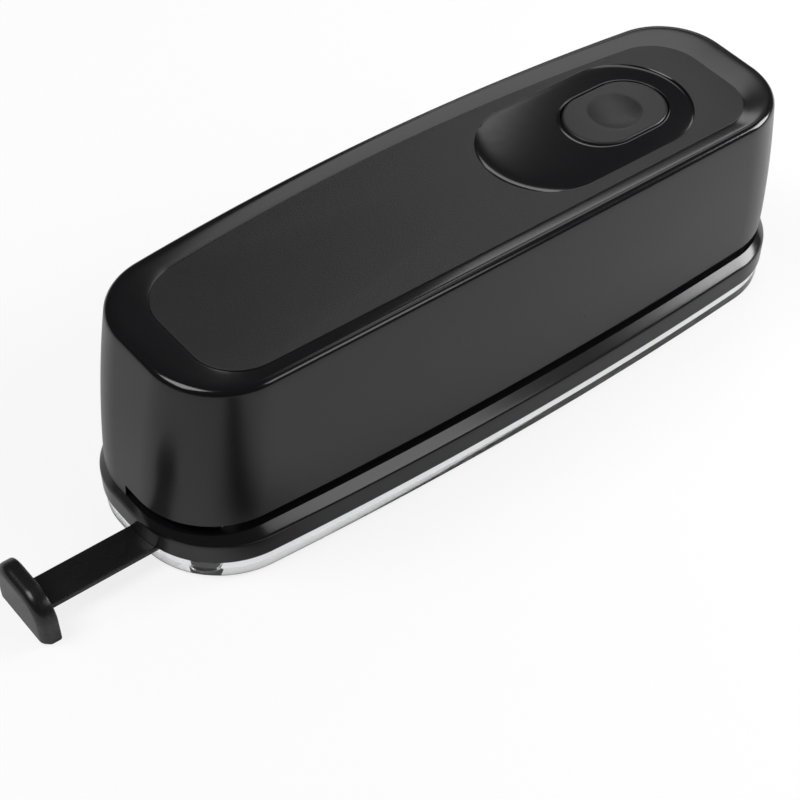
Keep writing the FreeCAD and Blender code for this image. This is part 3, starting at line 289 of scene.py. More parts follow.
def stadium(shape, towards, height, grow=0.0):
    """A round-ended oblong met by rays from its middle towards given points: the straight
    side at half width / |sin| while that lies along the run, and else the end circle."""
    middle, half_length, half_width = shape
    half_length, half_width = half_length + grow, half_width + grow
    run = half_length - half_width
    angle = np.arctan2(towards[..., 1], towards[..., 0] - middle)
    c, s = np.abs(np.cos(angle)), np.maximum(np.abs(np.sin(angle)), 1e-9)
    flat = half_width / s
    round_end = run * c + np.sqrt(np.maximum(half_width ** 2 - (run * s) ** 2, 0))
    reach = np.where(flat * c <= run, flat, round_end)
    return np.stack([middle + reach * np.cos(angle), reach * np.sin(angle),
                     np.full_like(reach, height)], axis=-1)


def oblong_rays(shape, count=240):
    """Points spread evenly along an oblong's edge, as far points for stadium()."""
    middle, half_length, half_width = shape
    run = half_length - half_width
    arc = math.pi * half_width / 2
    edge = 4 * arc + 4 * run
    walk = np.arange(count) / count * edge
    marks = [0, arc, arc + 2 * run, 3 * arc + 2 * run, 3 * arc + 4 * run, edge]
    turns = np.array([0, 1, 1, 3, 3, 4]) * math.pi / 2
    angle = np.interp(walk, marks, turns)
    slide = np.interp(walk, marks, [run, run, -run, -run, run, run])
    return np.stack([middle + slide + half_width * np.cos(angle), half_width * np.sin(angle)], axis=-1)


def circle(x, y, radius, count=64):
    """Points round a circle."""
    angle = np.arange(count) / count * 2 * math.pi
    return np.stack([x + radius * np.cos(angle), y + radius * np.sin(angle)], axis=1)


def rounded(x_low, x_high, y_low, y_high, radius, count=12):
    """A rectangle with quarter circles at its corners."""
    angle = (np.arange(4)[:, None] + np.arange(count + 1)[None, :] / count) * math.pi / 2
    x = np.where(np.cos(angle.mean(axis=1)) > 0, x_high - radius, x_low + radius)[:, None]
    y = np.where(np.sin(angle.mean(axis=1)) > 0, y_high - radius, y_low + radius)[:, None]
    return np.stack([x + radius * np.cos(angle), y + radius * np.sin(angle)], axis=2).reshape(-1, 2)


def across(x, line):
    """An outline of (y, z) pairs stood across the X axis at a place."""
    return np.column_stack([np.full(len(line), x), line])


# Meshes

# Edges over this many degrees stay sharp
SMOOTH_ANGLE = 32


def skin(name, points, polygons, finishes, material=None):
    """A named object from points in millimetres, its faces and its finishes."""
    mesh = bpy.data.meshes.new(name)
    mesh.from_pydata(metres(points).tolist(), [], polygons)
    for finish in finishes:
        mesh.materials.append(finish)
    if material is not None:
        mesh.polygons.foreach_set("material_index", material)
    piece = bpy.data.objects.new(name, mesh)
    bpy.context.scene.collection.objects.link(piece)
    return piece


def surface(name, rows, finishes, row_finish=None, ring=False, capped=False):
    """A grid of points as a closed skin: columns wrap round, rows wrap too when ring is set,
    and each end row is closed by a fan to its own middle when capped. Faces point outwards
    when rows climb the outside of the form."""
    count, width = rows.shape[:2]
    points = rows.reshape(-1, 3)
    r = np.arange(count if ring else count - 1)[:, None]
    c = np.arange(width)[None, :]
    after, beside = (r + 1) % count, (c + 1) % width
    faces = np.stack([r * width + c, r * width + beside, after * width + beside, after * width + c],
                     axis=2)
    if row_finish is None:
        row_finish = np.zeros(count, dtype=int)
    material = np.broadcast_to(row_finish[:len(r), None], faces.shape[:2]).reshape(-1).tolist()
    polygons = faces.reshape(-1, 4).tolist()
    if capped:
        base = len(points)
        points = np.vstack([points, rows[0].mean(axis=0), rows[-1].mean(axis=0)])
        for start, pole, turn in ((0, base, -1), ((count - 1) * width, base + 1, 1)):
            edge = start + np.arange(width)
            fan = np.stack([edge, start + (np.arange(width) + 1) % width, np.full(width, pole)], axis=1)
            polygons += fan[:, ::turn].tolist()
            material += [material[0] if turn < 0 else material[-1]] * width
    return skin(name, points, polygons, finishes, material)


def block(low, high):
    """A plain block, only ever used to carve another piece."""
    corner = np.array([[x, y, z] for x in (0, 1) for y in (0, 1) for z in (0, 1)], dtype=float)
    points = np.array(low) + corner * (np.array(high) - np.array(low))
    return skin("block", points, [[0, 1, 3, 2], [4, 6, 7, 5], [0, 4, 5, 1], [2, 3, 7, 6],
                                  [0, 2, 6, 4], [1, 5, 7, 3]], [])


def pillar(outline, low, high, axis="z"):
    """An outline run straight between two places: (x, y) pairs along Z, or (x, z) pairs
    along Y."""
    column = "xyz".index(axis)
    count = len(outline)
    ends = np.vstack([np.insert(outline, column, place, axis=1) for place in (low, high)])
    index = np.arange(count)
    beside = (index + 1) % count
    sides = np.stack([index, beside, count + beside, count + index], axis=1)
    piece = skin("pillar", ends, sides.tolist() + [index[::-1].tolist(), (count + index).tolist()], [])
    if axis == "y":
        piece.data.flip_normals()
    return piece


def carve(piece, tools, operation="DIFFERENCE"):
    """Boolean the piece with each tool, keep the result in its mesh, and drop the tools."""
    for tool in tools:
        change = piece.modifiers.new("carve", "BOOLEAN")
        change.operation = operation
        change.object = tool
        change.solver = "EXACT"
        graph = bpy.context.evaluated_depsgraph_get()
        result = bpy.data.meshes.new_from_object(piece.evaluated_get(graph))
        piece.modifiers.remove(change)
        piece.data = result
    for tool in tools:
        bpy.data.objects.remove(tool)
    return piece


def join(pieces):
    """One object from several, kept in the first."""
    points, polygons, material = [], [], []
    for piece in pieces:
        mesh = piece.data
        start = len(points)
        points += [v.co[:] for v in mesh.vertices]
        polygons += [[start + i for i in face.vertices] for face in mesh.polygons]
        material += [face.material_index for face in mesh.polygons]
    whole = bpy.data.meshes.new(pieces[0].name)
    whole.from_pydata(points, [], polygons)
    for finish in pieces[0].data.materials:
        whole.materials.append(finish)
    whole.polygons.foreach_set("material_index", material)
    pieces[0].data = whole
    for piece in pieces[1:]:
        bpy.data.objects.remove(piece)
    return pieces[0]


def smooth(piece):
    """Smooth faces, with the steep edges kept sharp."""
    mesh = piece.data
    mesh.polygons.foreach_set("use_smooth", [True] * len(mesh.polygons))
    mesh.set_sharp_from_angle(angle=math.radians(SMOOTH_ANGLE))
    mesh.update()


def put(piece, node, body):
    """Smooth a finished piece, set it in place of a node and let it ride on a body."""
    smooth(piece)
    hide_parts(node)
    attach(piece, body)


# Finishes

# Noise in cells per metre, and the shallowest relief in metres
CLOUDS = 38
PATCHES = 120
SPECKS = 900
SWELLS = 260
RIPPLES = 90
FAINT = 0.000004
RIPPLE_DEPTH = 0.00003


class Value:
    """A number that varies over a surface; each operation adds its Math node."""

    def __init__(self, tree, socket):
        self.tree = tree
        self.socket = socket

    def __add__(self, other):
        return self.tree.maths("ADD", self, other)

    __radd__ = __add__

    def __mul__(self, other):
        return self.tree.maths("MULTIPLY", self, other)

    __rmul__ = __mul__

    def __sub__(self, other):
        return self.tree.maths("SUBTRACT", self, other)

    def __rsub__(self, other):
        return self.tree.maths("SUBTRACT", other, self)

    def clamp(self):
        """The value kept between 0 and 1."""
        return self.tree.maths("MINIMUM", self.tree.maths("MAXIMUM", self, 0), 1)


class Placed:
    """A node in its tree, with its outputs as values."""

    def __init__(self, tree, node):
        self.tree = tree
        self.node = node

    def out(self, name=0):
        """One output, by its name or number."""
        return Value(self.tree, self.node.outputs[name])


class Tree:
    """The nodes of a material or of the world."""

    def __init__(self, owner):
        owner.use_nodes = True
        self.tree = owner.node_tree
        self.tree.nodes.clear()

    def node(self, kind, settings, values):
        """Add a node: settings first, then a value or a link for each named input."""
        node = self.tree.nodes.new(kind)
        for key, value in settings.items():
            setattr(node, key, value)
        for key, value in values.items():
            if isinstance(value, Value):
                self.tree.links.new(value.socket, node.inputs[key])
            else:
                node.inputs[key].default_value = value
        return Placed(self, node)

    def maths(self, operation, *values):
        """A Math node on values and plain numbers."""
        return self.node("ShaderNodeMath", {"operation": operation}, dict(enumerate(values))).out()

    def seen(self):
        """1 to the camera and through clear plastic, 0 to every other ray."""
        path = self.node("ShaderNodeLightPath", {}, {})
        return self.maths("MAXIMUM", path.out("Is Camera Ray"), path.out("Is Transmission Ray"))


class Finish(Tree):
    """One material and the few recipes that the punch's surfaces share."""

    def __init__(self, name):
        self.material = bpy.data.materials.new(name)
        super().__init__(self.material)
        self.place = self.node("ShaderNodeTexCoord", {}, {}).out("Object")

    def noise(self, scale, detail=2.0, rough=0.5, vector=None):
        """Cloudy noise; scale is in cells per metre."""
        return self.node("ShaderNodeTexNoise", {}, {"Vector": vector or self.place, "Scale": scale,
                                                    "Detail": detail, "Roughness": rough}).out()

    def grains(self, scale):
        """Distance to scattered cell points, for moulded spark grain."""
        return self.node("ShaderNodeTexVoronoi", {"feature": "F1"},
                         {"Vector": self.place, "Scale": scale}).out()

    def stretched(self, scales):
        """Object coordinates scaled per axis, for brushed or turned marks."""
        return self.node("ShaderNodeMapping", {}, {"Vector": self.place, "Scale": scales}).out()

    def blend(self, share, first, second):
        """A colour between two, by share."""
        return self.node("ShaderNodeMix", {"data_type": "RGBA"},
                         {0: share, 6: (*first, 1), 7: (*second, 1)}).out(2)

    def bump(self, height, distance):
        """Normals from a height; distance in metres."""
        return self.node("ShaderNodeBump", {}, {"Height": height, "Distance": distance,
                                                "Strength": 1.0}).out("Normal")

    def principled(self, **values):
        """The surface shader, by its own input names."""
        named = {key.replace("_", " "): value for key, value in values.items()}
        return self.node("ShaderNodeBsdfPrincipled", {}, named).out()

    def closed(self, shader):
        """The material, ended with a shader."""
        self.node("ShaderNodeOutputMaterial", {}, {0: shader})
        return self.material


def moulded(name, dark, light, rough, grain=0.0, cell=2600, coat=0.0, ior=1.5, drift=0.05):
    """Moulded plastic: faint cloudy shade, roughness that drifts, and grain from cells. The
    grain's depth is in millimetres and its cells are per metre."""
    f = Finish(name)
    cloud = f.noise(CLOUDS, 3)
    fine = f.noise(SPECKS, 3, 0.6)
    colour = f.blend((cloud * 0.6 + fine * 0.4).clamp(), dark, light)
    roughness = rough - drift / 2 + cloud * drift + (fine - 0.5) * (drift * 0.6)
    if grain:
        normal = f.bump(f.grains(cell) * 0.7 + f.noise(cell * 1.7, 2) * 0.5, grain * 0.001)
    else:
        normal = f.bump(f.noise(SWELLS, 2), FAINT)
    return f.closed(f.principled(Base_Color=colour, Roughness=roughness, Normal=normal,
                                 Coat_Weight=coat, Coat_Roughness=0.05, IOR=ior))


def metal(name, dark, light, rough, scales=(30, 900, 900)):
    """Ground or plated metal: streaks drawn along one axis over a cloudy shade."""
    f = Finish(name)
    streak = f.noise(1.0, 4, 0.6, f.stretched(scales))
    cloud = f.noise(PATCHES, 3)
    colour = f.blend((streak * 0.7 + cloud * 0.3).clamp(), dark, light)
    roughness = rough - 0.06 + streak * 0.12 + cloud * 0.05
    return f.closed(f.principled(Base_Color=colour, Metallic=1.0, Roughness=roughness,
                                 Normal=f.bump(streak, FAINT)))


def clear():
    """Clear moulded plastic with the faintest ripple."""
    f = Finish("clear_plastic")
    ripple = f.noise(RIPPLES, 2)
    colour = f.blend(ripple, (0.93, 0.945, 0.95), (0.975, 0.98, 0.985))
    return f.closed(f.principled(Base_Color=colour, Roughness=0.035 + ripple * 0.03,
                                 Transmission_Weight=1.0, IOR=1.2, Coat_Weight=0.7,
                                 Coat_Roughness=0.05, Normal=f.bump(ripple, RIPPLE_DEPTH)))


def cool(shade):
    """A dark grey with a trace of blue."""
    return (shade, shade, shade + 0.001)


cover_satin = moulded("cover_satin", cool(0.008), cool(0.012), 0.26, grain=0.0012, cell=2200, ior=1.46)
cover_gloss = moulded("cover_gloss", cool(0.004), cool(0.007), 0.15)
panel_grain = moulded("panel_grain", cool(0.017), cool(0.024), 0.42, grain=0.05, cell=2500, ior=1.45,
                      drift=0.06)
button_grain = moulded("button_grain", cool(0.013), cool(0.02), 0.34, grain=0.03, ior=1.45, drift=0.06)
bezel_gloss = moulded("bezel_gloss", cool(0.002), cool(0.004), 0.1, drift=0.02)
base_gloss = moulded("base_gloss", cool(0.005), cool(0.009), 0.17)
guide_satin = moulded("guide_satin", cool(0.006), cool(0.011), 0.27, grain=0.006, cell=3000)
inner_black = moulded("inner_black", (0.02, 0.02, 0.022), (0.035, 0.035, 0.038), 0.5, grain=0.012,
                      cell=1800)
rubber_dark = moulded("rubber_dark", (0.045, 0.045, 0.045), (0.07, 0.069, 0.068), 0.75, grain=0.03,
                      cell=1600, drift=0.1)
gear_white = moulded("gear_white", (0.74, 0.72, 0.67), (0.86, 0.85, 0.81), 0.42, grain=0.006, cell=2000)
board_green = moulded("board_green", (0.015, 0.12, 0.05), (0.03, 0.2, 0.085), 0.35, grain=0.004,
                      cell=1400, coat=0.4)
sleeve = moulded("sleeve", (0.45, 0.31, 0.1), (0.6, 0.43, 0.16), 0.35, grain=0.003, cell=900, coat=0.3)
ground_steel = metal("ground_steel", (0.48, 0.48, 0.49), (0.72, 0.72, 0.73), 0.26)
plated_sheet = metal("plated_sheet", (0.52, 0.53, 0.54), (0.74, 0.75, 0.76), 0.34, (200, 260, 240))
hard_steel = metal("hard_steel", (0.55, 0.55, 0.57), (0.76, 0.76, 0.78), 0.16, (900, 900, 40))
bronze = metal("bronze", (0.42, 0.27, 0.12), (0.62, 0.43, 0.2), 0.3, (700, 700, 60))
nickel = metal("nickel", (0.6, 0.6, 0.59), (0.8, 0.8, 0.78), 0.2, (400, 400, 400))
clear_plastic = clear()

by_slot = {
    "cover": cover_satin, "panel": panel_grain, "bezel": bezel_gloss, "button": button_grain,
    "base": base_gloss, "clear_plastic": clear_plastic, "rubber": rubber_dark, "guide": guide_satin,
    "steel": ground_steel, "plated_steel": plated_sheet, "tool_steel": hard_steel, "bronze": bronze,
    "gear_plastic": gear_white, "inner_plastic": inner_black, "battery": sleeve, "contact": nickel,
    "board": board_green,
}
for subpart in frame["record"]["subparts"]:
    node = frame["nodes"].get(subpart["node"])
    if node is not None:
        for slot in node.material_slots:
            slot.material = by_slot[subpart["material_slot"]]


# Cover and battery door

def cover_skin(name):
    """The cover's outer wall, rim round, border, panel seat, ceiling and inner wall as one
    closed profile carried round the plan. The round's rows step by r sin and r (1 - cos), and
    the border eases off the crest by s - a (1 - exp(-s / a))."""
    wall_z = np.linspace(DECK_TOP, RIM_HEIGHT - RIM_ROUND, 26)
    turn = np.linspace(0, math.pi / 2, 10)[1:]
    round_z = RIM_HEIGHT - RIM_ROUND + RIM_ROUND * np.sin(turn)
    outside = loops(cover_plans(wall_z, 0.0), wall_z)
    rim = loops(cover_plans(round_z, RIM_ROUND * (1 - np.cos(turn))), round_z)
    share = np.array([0.03, 0.07, 0.12, 0.18, 0.26, 0.36, 0.5, 0.7, 0.9, 0.97, 1.0])
    eased = (share - BORDER_EASE * (1 - np.exp(-share / BORDER_EASE))) / (1 - BORDER_EASE)
    border_z = RIM_HEIGHT - BORDER_DROP * eased - BORDER_TUCK * share ** 12
    border = loops(mixed(cover_plans(RIM_HEIGHT, RIM_ROUND)[0], PANEL, share), border_z)
    seat = loops(PANEL, PANEL_BOTTOM)
    opening = [stadium(BUTTON, seat[0], z, BUTTON_GAP)[None] for z in (PANEL_BOTTOM, CEILING)]
    inner_z = np.linspace(CEILING, DECK_TOP, 10)
    inside = loops(cover_plans(inner_z, COVER_WALL), inner_z)
    rows = np.concatenate([outside, rim, border, seat] + opening + [inside])
    glossy = len(outside) + 1
    finish = np.zeros(len(rows), dtype=int)
    finish[glossy:glossy + len(rim) + len(border)] = 1
    return surface(name, rows, [cover_satin, cover_gloss], finish, ring=True)


def through_back(outline, start=INSIDE_BACK):
    """An outline in X and Z run out through the back wall."""
    return pillar(outline, start, PAST_SIDE, "y")


def door_tool(grow):
    """The battery door's rounded outline run through the back wall."""
    left, right, low, high = DOOR
    return through_back(rounded(left - grow, right + grow, low - grow, high + grow, DOOR_CORNER + grow))


cover = cover_skin("cover_skin")
door = cover_skin("door_skin")
slot_tool = block((-PAST_END, -PAST_SIDE, 0.0), (PAST_END, SLOT_BACK, SLOT_TOP))
carve(cover, [slot_tool, door_tool(DOOR_GAP), through_back(circle(INLET_X, INLET_Z, INLET_RADIUS))])
carve(door, [door_tool(0.0)], "INTERSECT")
carve(door, [through_back(rounded(*GRIP_ENDS, top - GRIP_HEIGHT, top, GRIP_CORNER),
                          GRIP_FLOOR - GRIP_STEP * k) for k, top in enumerate(GRIP_TOPS)])
put(cover, "top_cover", "housing")
put(door, "battery_door", "door")


# Panel and bezel

def panel_skin():
    """Flat plate inside the border with a small round edge and an oblong hole: outside rows
    from the plan, inside rows from rays to the bezel's outline."""
    turn = np.linspace(0, math.pi / 2, 6)
    under = loops(inset(PANEL, PANEL_GAP), PANEL_BOTTOM)
    edge = loops(inset(PANEL, PANEL_GAP + PANEL_ROUND * (1 - np.cos(turn))),
                 PANEL_TOP - PANEL_ROUND + PANEL_ROUND * np.sin(turn))
    hole = [stadium(BEZEL, edge[-1], z, grow)[None] for z, grow in
            ((PANEL_TOP, BEZEL_FIT + HOLE_CHAMFER), (PANEL_TOP - HOLE_CHAMFER, BEZEL_FIT),
             (PANEL_BOTTOM, BEZEL_FIT))]
    return surface("panel_skin", np.concatenate([under, edge] + hole), [panel_grain], ring=True)


put(panel_skin(), "top_panel", "housing")


def bezel_skin():
    """Flush oblong ring, hollowed across: z falls by h (1 - (y / w)^2) from the two long
    edges, eased in from the outline by 1 - exp(-s / a), with a hair of a round at each edge."""
    rays = oblong_rays(BEZEL)
    outer = np.array([stadium(BEZEL, rays, z, grow) for z, grow in
                      ((PANEL_BOTTOM, 0.0), (PANEL_TOP - BEZEL_ROUND, 0.0),
                       (PANEL_TOP - BEZEL_ROUND / 3, -BEZEL_ROUND / 3), (PANEL_TOP, -BEZEL_ROUND))])
    lip = stadium(BUTTON, rays, PANEL_TOP, BUTTON_GAP + LIP_ROUND)
    share = np.concatenate([np.linspace(0, 0.2, 11)[1:], np.linspace(0.2, 1, 15)[1:]])
    dish = mixed(outer[-1], lip, share)
    hollow = HOLLOW * (1 - (dish[..., 1] / BEZEL[2]) ** 2)
    dish[..., 2] = PANEL_TOP - hollow * (1 - np.exp(-share / HOLLOW_EASE))[:, None]
    inner = np.array([stadium(BUTTON, rays, PANEL_BOTTOM, BUTTON_GAP + grow)
                      for grow in (LIP_HALFWAY, 0.0, 0.0)])
    inner[0, :, 2] = dish[-1, :, 2] - LIP_HALFWAY
    inner[1, :, 2] = dish[-1, :, 2] - LIP_ROUND
    return surface("bezel_skin", np.concatenate([outer, dish, inner]), [bezel_gloss], ring=True)


put(bezel_skin(), "button_bezel", "housing")


# Push button

def button_skin():
    """Crowned oblong: the height is a large sphere's, less a rounded edge that falls with the
    distance to the rim, and less a thumb dimple from a smaller sphere, blended by
    (g + sqrt(g^2 + b)) / 2. A flange stops it under the ceiling and a round stem reaches down
    to the switch."""
    middle, half_length, half_width = BUTTON
    rays = oblong_rays(BUTTON)
    rim = stadium(BUTTON, rays, 0.0)
    share = np.concatenate([1 - np.geomspace(0.0005, 0.12, 14), np.linspace(0.87, 0.012, 78)])
    top = mixed(np.ones_like(rim) * np.array([middle, 0.0, 0.0]), rim, share)
    past_run = np.maximum(np.abs(top[..., 0] - middle) - (half_length - half_width), 0)
    to_edge = np.maximum(half_width - np.hypot(past_run, top[..., 1]), 0)
    out = np.hypot(top[..., 0] - middle, top[..., 1])
    crown = CROWN_TOP - out ** 2 / (2 * CROWN_RADIUS)
    fall = np.maximum(BUTTON_ROUND ** 2 - np.maximum(BUTTON_ROUND - to_edge, 0) ** 2, 0)
    edge = BUTTON_ROUND - np.sqrt(fall)
    gap = crown - (DIMPLE_FLOOR + out ** 2 / (2 * DIMPLE_RADIUS))
    dimple = 0.5 * (gap + np.sqrt(gap ** 2 + DIMPLE_BLEND))
    top[..., 2] = crown - edge - dimple + DIMPLE_LIFT
    skirt = [stadium(BUTTON, rays, z, grow) for z, grow in
             ((FLANGE_LOW, FLANGE_REACH), (FLANGE_HIGH, FLANGE_REACH), (FLANGE_HIGH, 0.0),
              (BUTTON_SIDE_TOP, 0.0))]
    cap = surface("button_skin", np.concatenate([np.array(skirt), top]), [button_grain], capped=True)
    stem = pillar(circle(middle, 0.0, STEM_RADIUS, 40), STEM_LOW, FLANGE_LOW + STEM_SINK)
    return join([cap, stem])


put(button_skin(), "push_button", "button")


# Base

def base_skin():
    """Upright band, a quadratic curve over its upper edge, the sloped shelf, the deck, and the
    hollow below: rows climb outside, cross the deck, and come back inside."""
    band = loops(inset(BASE, [BASE_CHAMFER, 0.0, 0.0, 0.0]),
                 [BASE_BOTTOM, BASE_BOTTOM + BASE_CHAMFER, BAND_MIDDLE, BAND_TOP - BEND_DROP])
    t = np.linspace(0, 1, 9)[1:]
    start, stop = BAND_TOP - BEND_DROP, BAND_TOP + BEND_SHARE * (DECK_TOP - BAND_TOP)
    bend = loops(mixed(BASE, FOOT, BEND_SHARE * t ** 2),
                 start * (1 - t) ** 2 + 2 * BAND_TOP * t * (1 - t) + stop * t ** 2)
    share = np.array([0.5, 0.8, 0.97, 1.0])
    shelf = loops(mixed(BASE, FOOT, share), BAND_TOP + (DECK_TOP - BAND_TOP) * share)
    deck = to_middle(shelf[-1], DECK_TOP, [0.97, 0.6, 0.2, 0.01])
    hollow = loops(inset(BASE, BASE_WALL), DECK_BOTTOM)
    below = to_middle(hollow[0], DECK_BOTTOM, [0.01, 0.3, 0.8])
    foot = loops(inset(BASE, BASE_WALL), BASE_BOTTOM)
    rows = np.concatenate([band, bend, shelf, deck, below, hollow, foot])
    return surface("base_skin", rows, [base_gloss], ring=True)


def loop_skin(start, length):
    """A hanging square loop for the guide's arm: an outer and an inner outline run along X."""
    half = GUIDE_HALF + GUIDE_FIT
    low = GUIDE_LOW - GUIDE_FIT
    inner = rounded(GUIDE_Y - half, GUIDE_Y + half, low, GUIDE_TOP + GUIDE_FIT, LOOP_CORNER_IN, 4)
    outer = rounded(GUIDE_Y - half - LOOP_WALL, GUIDE_Y + half + LOOP_WALL, low - LOOP_WALL,
                    DECK_BOTTOM + LOOP_SINK, LOOP_CORNER_OUT, 4)
    end = start + length
    rows = np.array([across(start, outer), across(start, inner), across(end, inner), across(end, outer)])
    return surface("loop_skin", rows, [base_gloss], ring=True)


base = base_skin()
die_left, die_right = span("die_plate", "x")
die_front, die_back = span("die_plate", "y")
die_seat = block((die_left, die_front, span("die_plate", "z")[0]), (die_right, die_back, PAST_DECK))
guide_passage = block(
    (-PAST_END, GUIDE_Y - GUIDE_HALF - GUIDE_FIT, GUIDE_LOW - GUIDE_FIT),
    (PASSAGE_END, GUIDE_Y + GUIDE_HALF + GUIDE_FIT, GUIDE_TOP + GUIDE_FIT))
carve(base, [die_seat] + [pillar(circle(x, PIN_Y, CHIP_HOLE), CHIP_HOLE_LOW, CHIP_HOLE_HIGH)
                          for x in PIN_PLACES] + [guide_passage])
base = join([base] + [loop_skin(start, length) for start, length in zip(LOOP_STARTS, LOOP_LENGTHS)])
put(base, "base", "housing")


# Chip tray

def tray_skin():
    """Clear tray: floor, wall with a soft lower edge, a lip that enters the base, and the
    inside face back down to the floor."""
    wall = inset(BASE, TRAY_INSETS[0])[0]
    turn = np.linspace(0, math.pi / 2, 6)
    foot = loops(inset(wall, TRAY_ROUND * (1 - np.sin(turn))),
                 TRAY_BOTTOM + TRAY_ROUND * (1 - np.cos(turn)))
    sides = loops(inset(BASE, TRAY_INSETS), TRAY_HEIGHTS)
    floor = to_middle(sides[-1], TRAY_FLOOR, [0.8, 0.3, 0.01])
    under = to_middle(foot[0], TRAY_BOTTOM, [0.01, 0.3, 0.8])
    rows = np.concatenate([under, foot, sides, floor])
    return surface("tray_skin", rows, [clear_plastic], ring=True)


def front_of(plan, x):
    """Where the plan's front side lies at a place along X: on its arc of radius
    (length^2 + bow^2) / (2 bow)."""
    length, front, bow = plan[0], plan[1], plan[3]
    radius = (length ** 2 + bow ** 2) / (2 * bow)
    return radius - front - math.sqrt(radius ** 2 - x ** 2)


inner_plan = inset(BASE, TRAY_INSIDE)[0]
sunk = TRAY_FLOOR - FLOOR_SINK
extras = []
for x in RIB_PLACES:
    front = front_of(inner_plan, x)
    rib = rounded(x - RIB_HALF, x + RIB_HALF, front - RIB_SINK, front + RIB_REACH, RIB_CORNER, 3)
    extras.append(pillar(rib, sunk, RIB_TOP))
for x in BOSS_PLACES:
    extras.append(pillar(circle(x, front_of(inner_plan, x) + BOSS_IN, BOSS_RADIUS, 40), sunk, BOSS_TOP))
for x, y in PAD_PLACES:
    extras.append(pillar(circle(x, y, SEAT_RADIUS, 48), sunk, SEAT_TOP))
tray = join([tray_skin()] + extras)
guide_notch = block((-PAST_END, GUIDE_Y - GUIDE_HALF - NOTCH_FIT, GUIDE_LOW - NOTCH_FIT),
                    (NOTCH_END, GUIDE_Y + GUIDE_HALF + NOTCH_FIT, NOTCH_TOP))
carve(tray, [guide_notch] + [pillar(circle(x, y, PAD_RADIUS, 48), 0.0, PAD_TOP) for x, y in PAD_PLACES])
put(tray, "chip_tray", "tray")


# Edge guide

def arch(half, low, high, corner):
    """A straight foot, upright sides and a top with quarter-round shoulders, as (y, z)."""
    foot = np.stack([np.linspace(half, -half, 13), np.full(13, low)], axis=1)
    left = np.stack([np.full(9, -half), np.linspace(low, high - corner, 10)[1:]], axis=1)
    angle = np.linspace(math.pi, math.pi / 2, 22)[1:]
    shoulder = np.stack([corner - half + corner * np.cos(angle), high - corner + corner * np.sin(angle)],
                        axis=1)
    top = np.stack([np.linspace(corner - half, half - corner, 8)[1:], np.full(7, high)], axis=1)
    mirror = np.array([-1, 1])
    return np.vstack([foot, left, shoulder, top, shoulder[-2::-1] * mirror, left[::-1] * mirror])


def head_skin():
    """The guide's head: arches from the inner face to the outer one, drawn in by
    r (1 - sin t) along a small round inside and by r (1 - cos t) along a large one outside."""
    inside = np.linspace(0, math.pi / 2, 5)
    outside = np.linspace(0, math.pi / 2, 14)[1:]
    x = np.concatenate([HEAD_INNER - HEAD_ROUND_IN * (1 - np.cos(inside)),
                        HEAD_OUTER + HEAD_ROUND_OUT * (1 - np.sin(outside))])
    drawn = np.concatenate([HEAD_ROUND_IN * (1 - np.sin(inside)),
                            HEAD_ROUND_OUT * (1 - np.cos(outside))])
    lines = [arch(HEAD_HALF - d, HEAD_LOW + min(d, HEAD_LIFT), HEAD_TOP - d, HEAD_SHOULDER - d)
             + [GUIDE_Y, 0.0] for d in drawn]
    rings = np.array([across(place, line) for place, line in zip(x, lines)])
    first, last = [mixed(ring.mean(axis=0) * np.ones_like(ring), ring, shares)
                   for ring, shares in ((rings[0], [0.3, 0.8]), (rings[-1], [0.8, 0.3]))]
    return surface("guide_skin", np.concatenate([first, rings, last]), [guide_satin], capped=True)


def arm_skin():
    """Flat arm with rounded long edges, run along X from its tail into the head."""
    line = rounded(GUIDE_Y - GUIDE_HALF, GUIDE_Y + GUIDE_HALF, GUIDE_LOW, GUIDE_TOP, ARM_ROUND, 6)
    rows = np.array([across(x, line) for x in np.linspace(ARM_TAIL, ARM_END, 24)])
    return surface("arm", rows, [guide_satin], capped=True)


def ring_tool(x):
    """A thin shallow ring in the arm's upper face."""
    ring = pillar(circle(x, GUIDE_Y, RING_RADIUS, 56), GUIDE_TOP - RING_DEPTH, PAST_ARM)
    core = pillar(circle(x, GUIDE_Y, RING_RADIUS - RING_LINE, 56), GUIDE_LOW, PAST_ARM + 1)
    return carve(ring, [core])


arm = carve(arm_skin(), [ring_tool(x) for x in RING_PLACES])
stop_outline = rounded(ARM_TAIL - STOP_LENGTH, ARM_TAIL, GUIDE_Y - STOP_HALF, GUIDE_Y + STOP_HALF,
                       STOP_CORNER, 4)
stop = pillar(stop_outline, GUIDE_LOW + STOP_LIFT, STOP_TOP)
put(join([head_skin(), arm, stop]), "edge_guide", "guide")


# Stage

# The floor in millimetres, and its glow's strength and share near the middle and per metre
FLOOR_HALF = 3000.0
FLOOR_GLOW = 1.05
GLOW_NEAR = 0.76
GLOW_PER_METRE = 0.14

# The painted dark stripe, shade painted on the floor for reflections: the direction across it,
# its offset in metres, its sharpness per square metre, and how it fades in along -Y, per metre
PAINTED_STRIPE_ACROSS = (0.862, -0.507, 0.0)
PAINTED_STRIPE_OFFSET = 0.048
PAINTED_STRIPE_SHARPNESS = 2600.0
PAINTED_STRIPE_FADE = 40.0
PAINTED_STRIPE_FADE_START = 1.2

# Where the lamps point, in metres, and the strength of the even room light
LAMP_AIM = Vector((0.03, 0.0, 0.06))
ROOM_LIGHT = 0.07
WHITE = (1, 1, 1, 1)


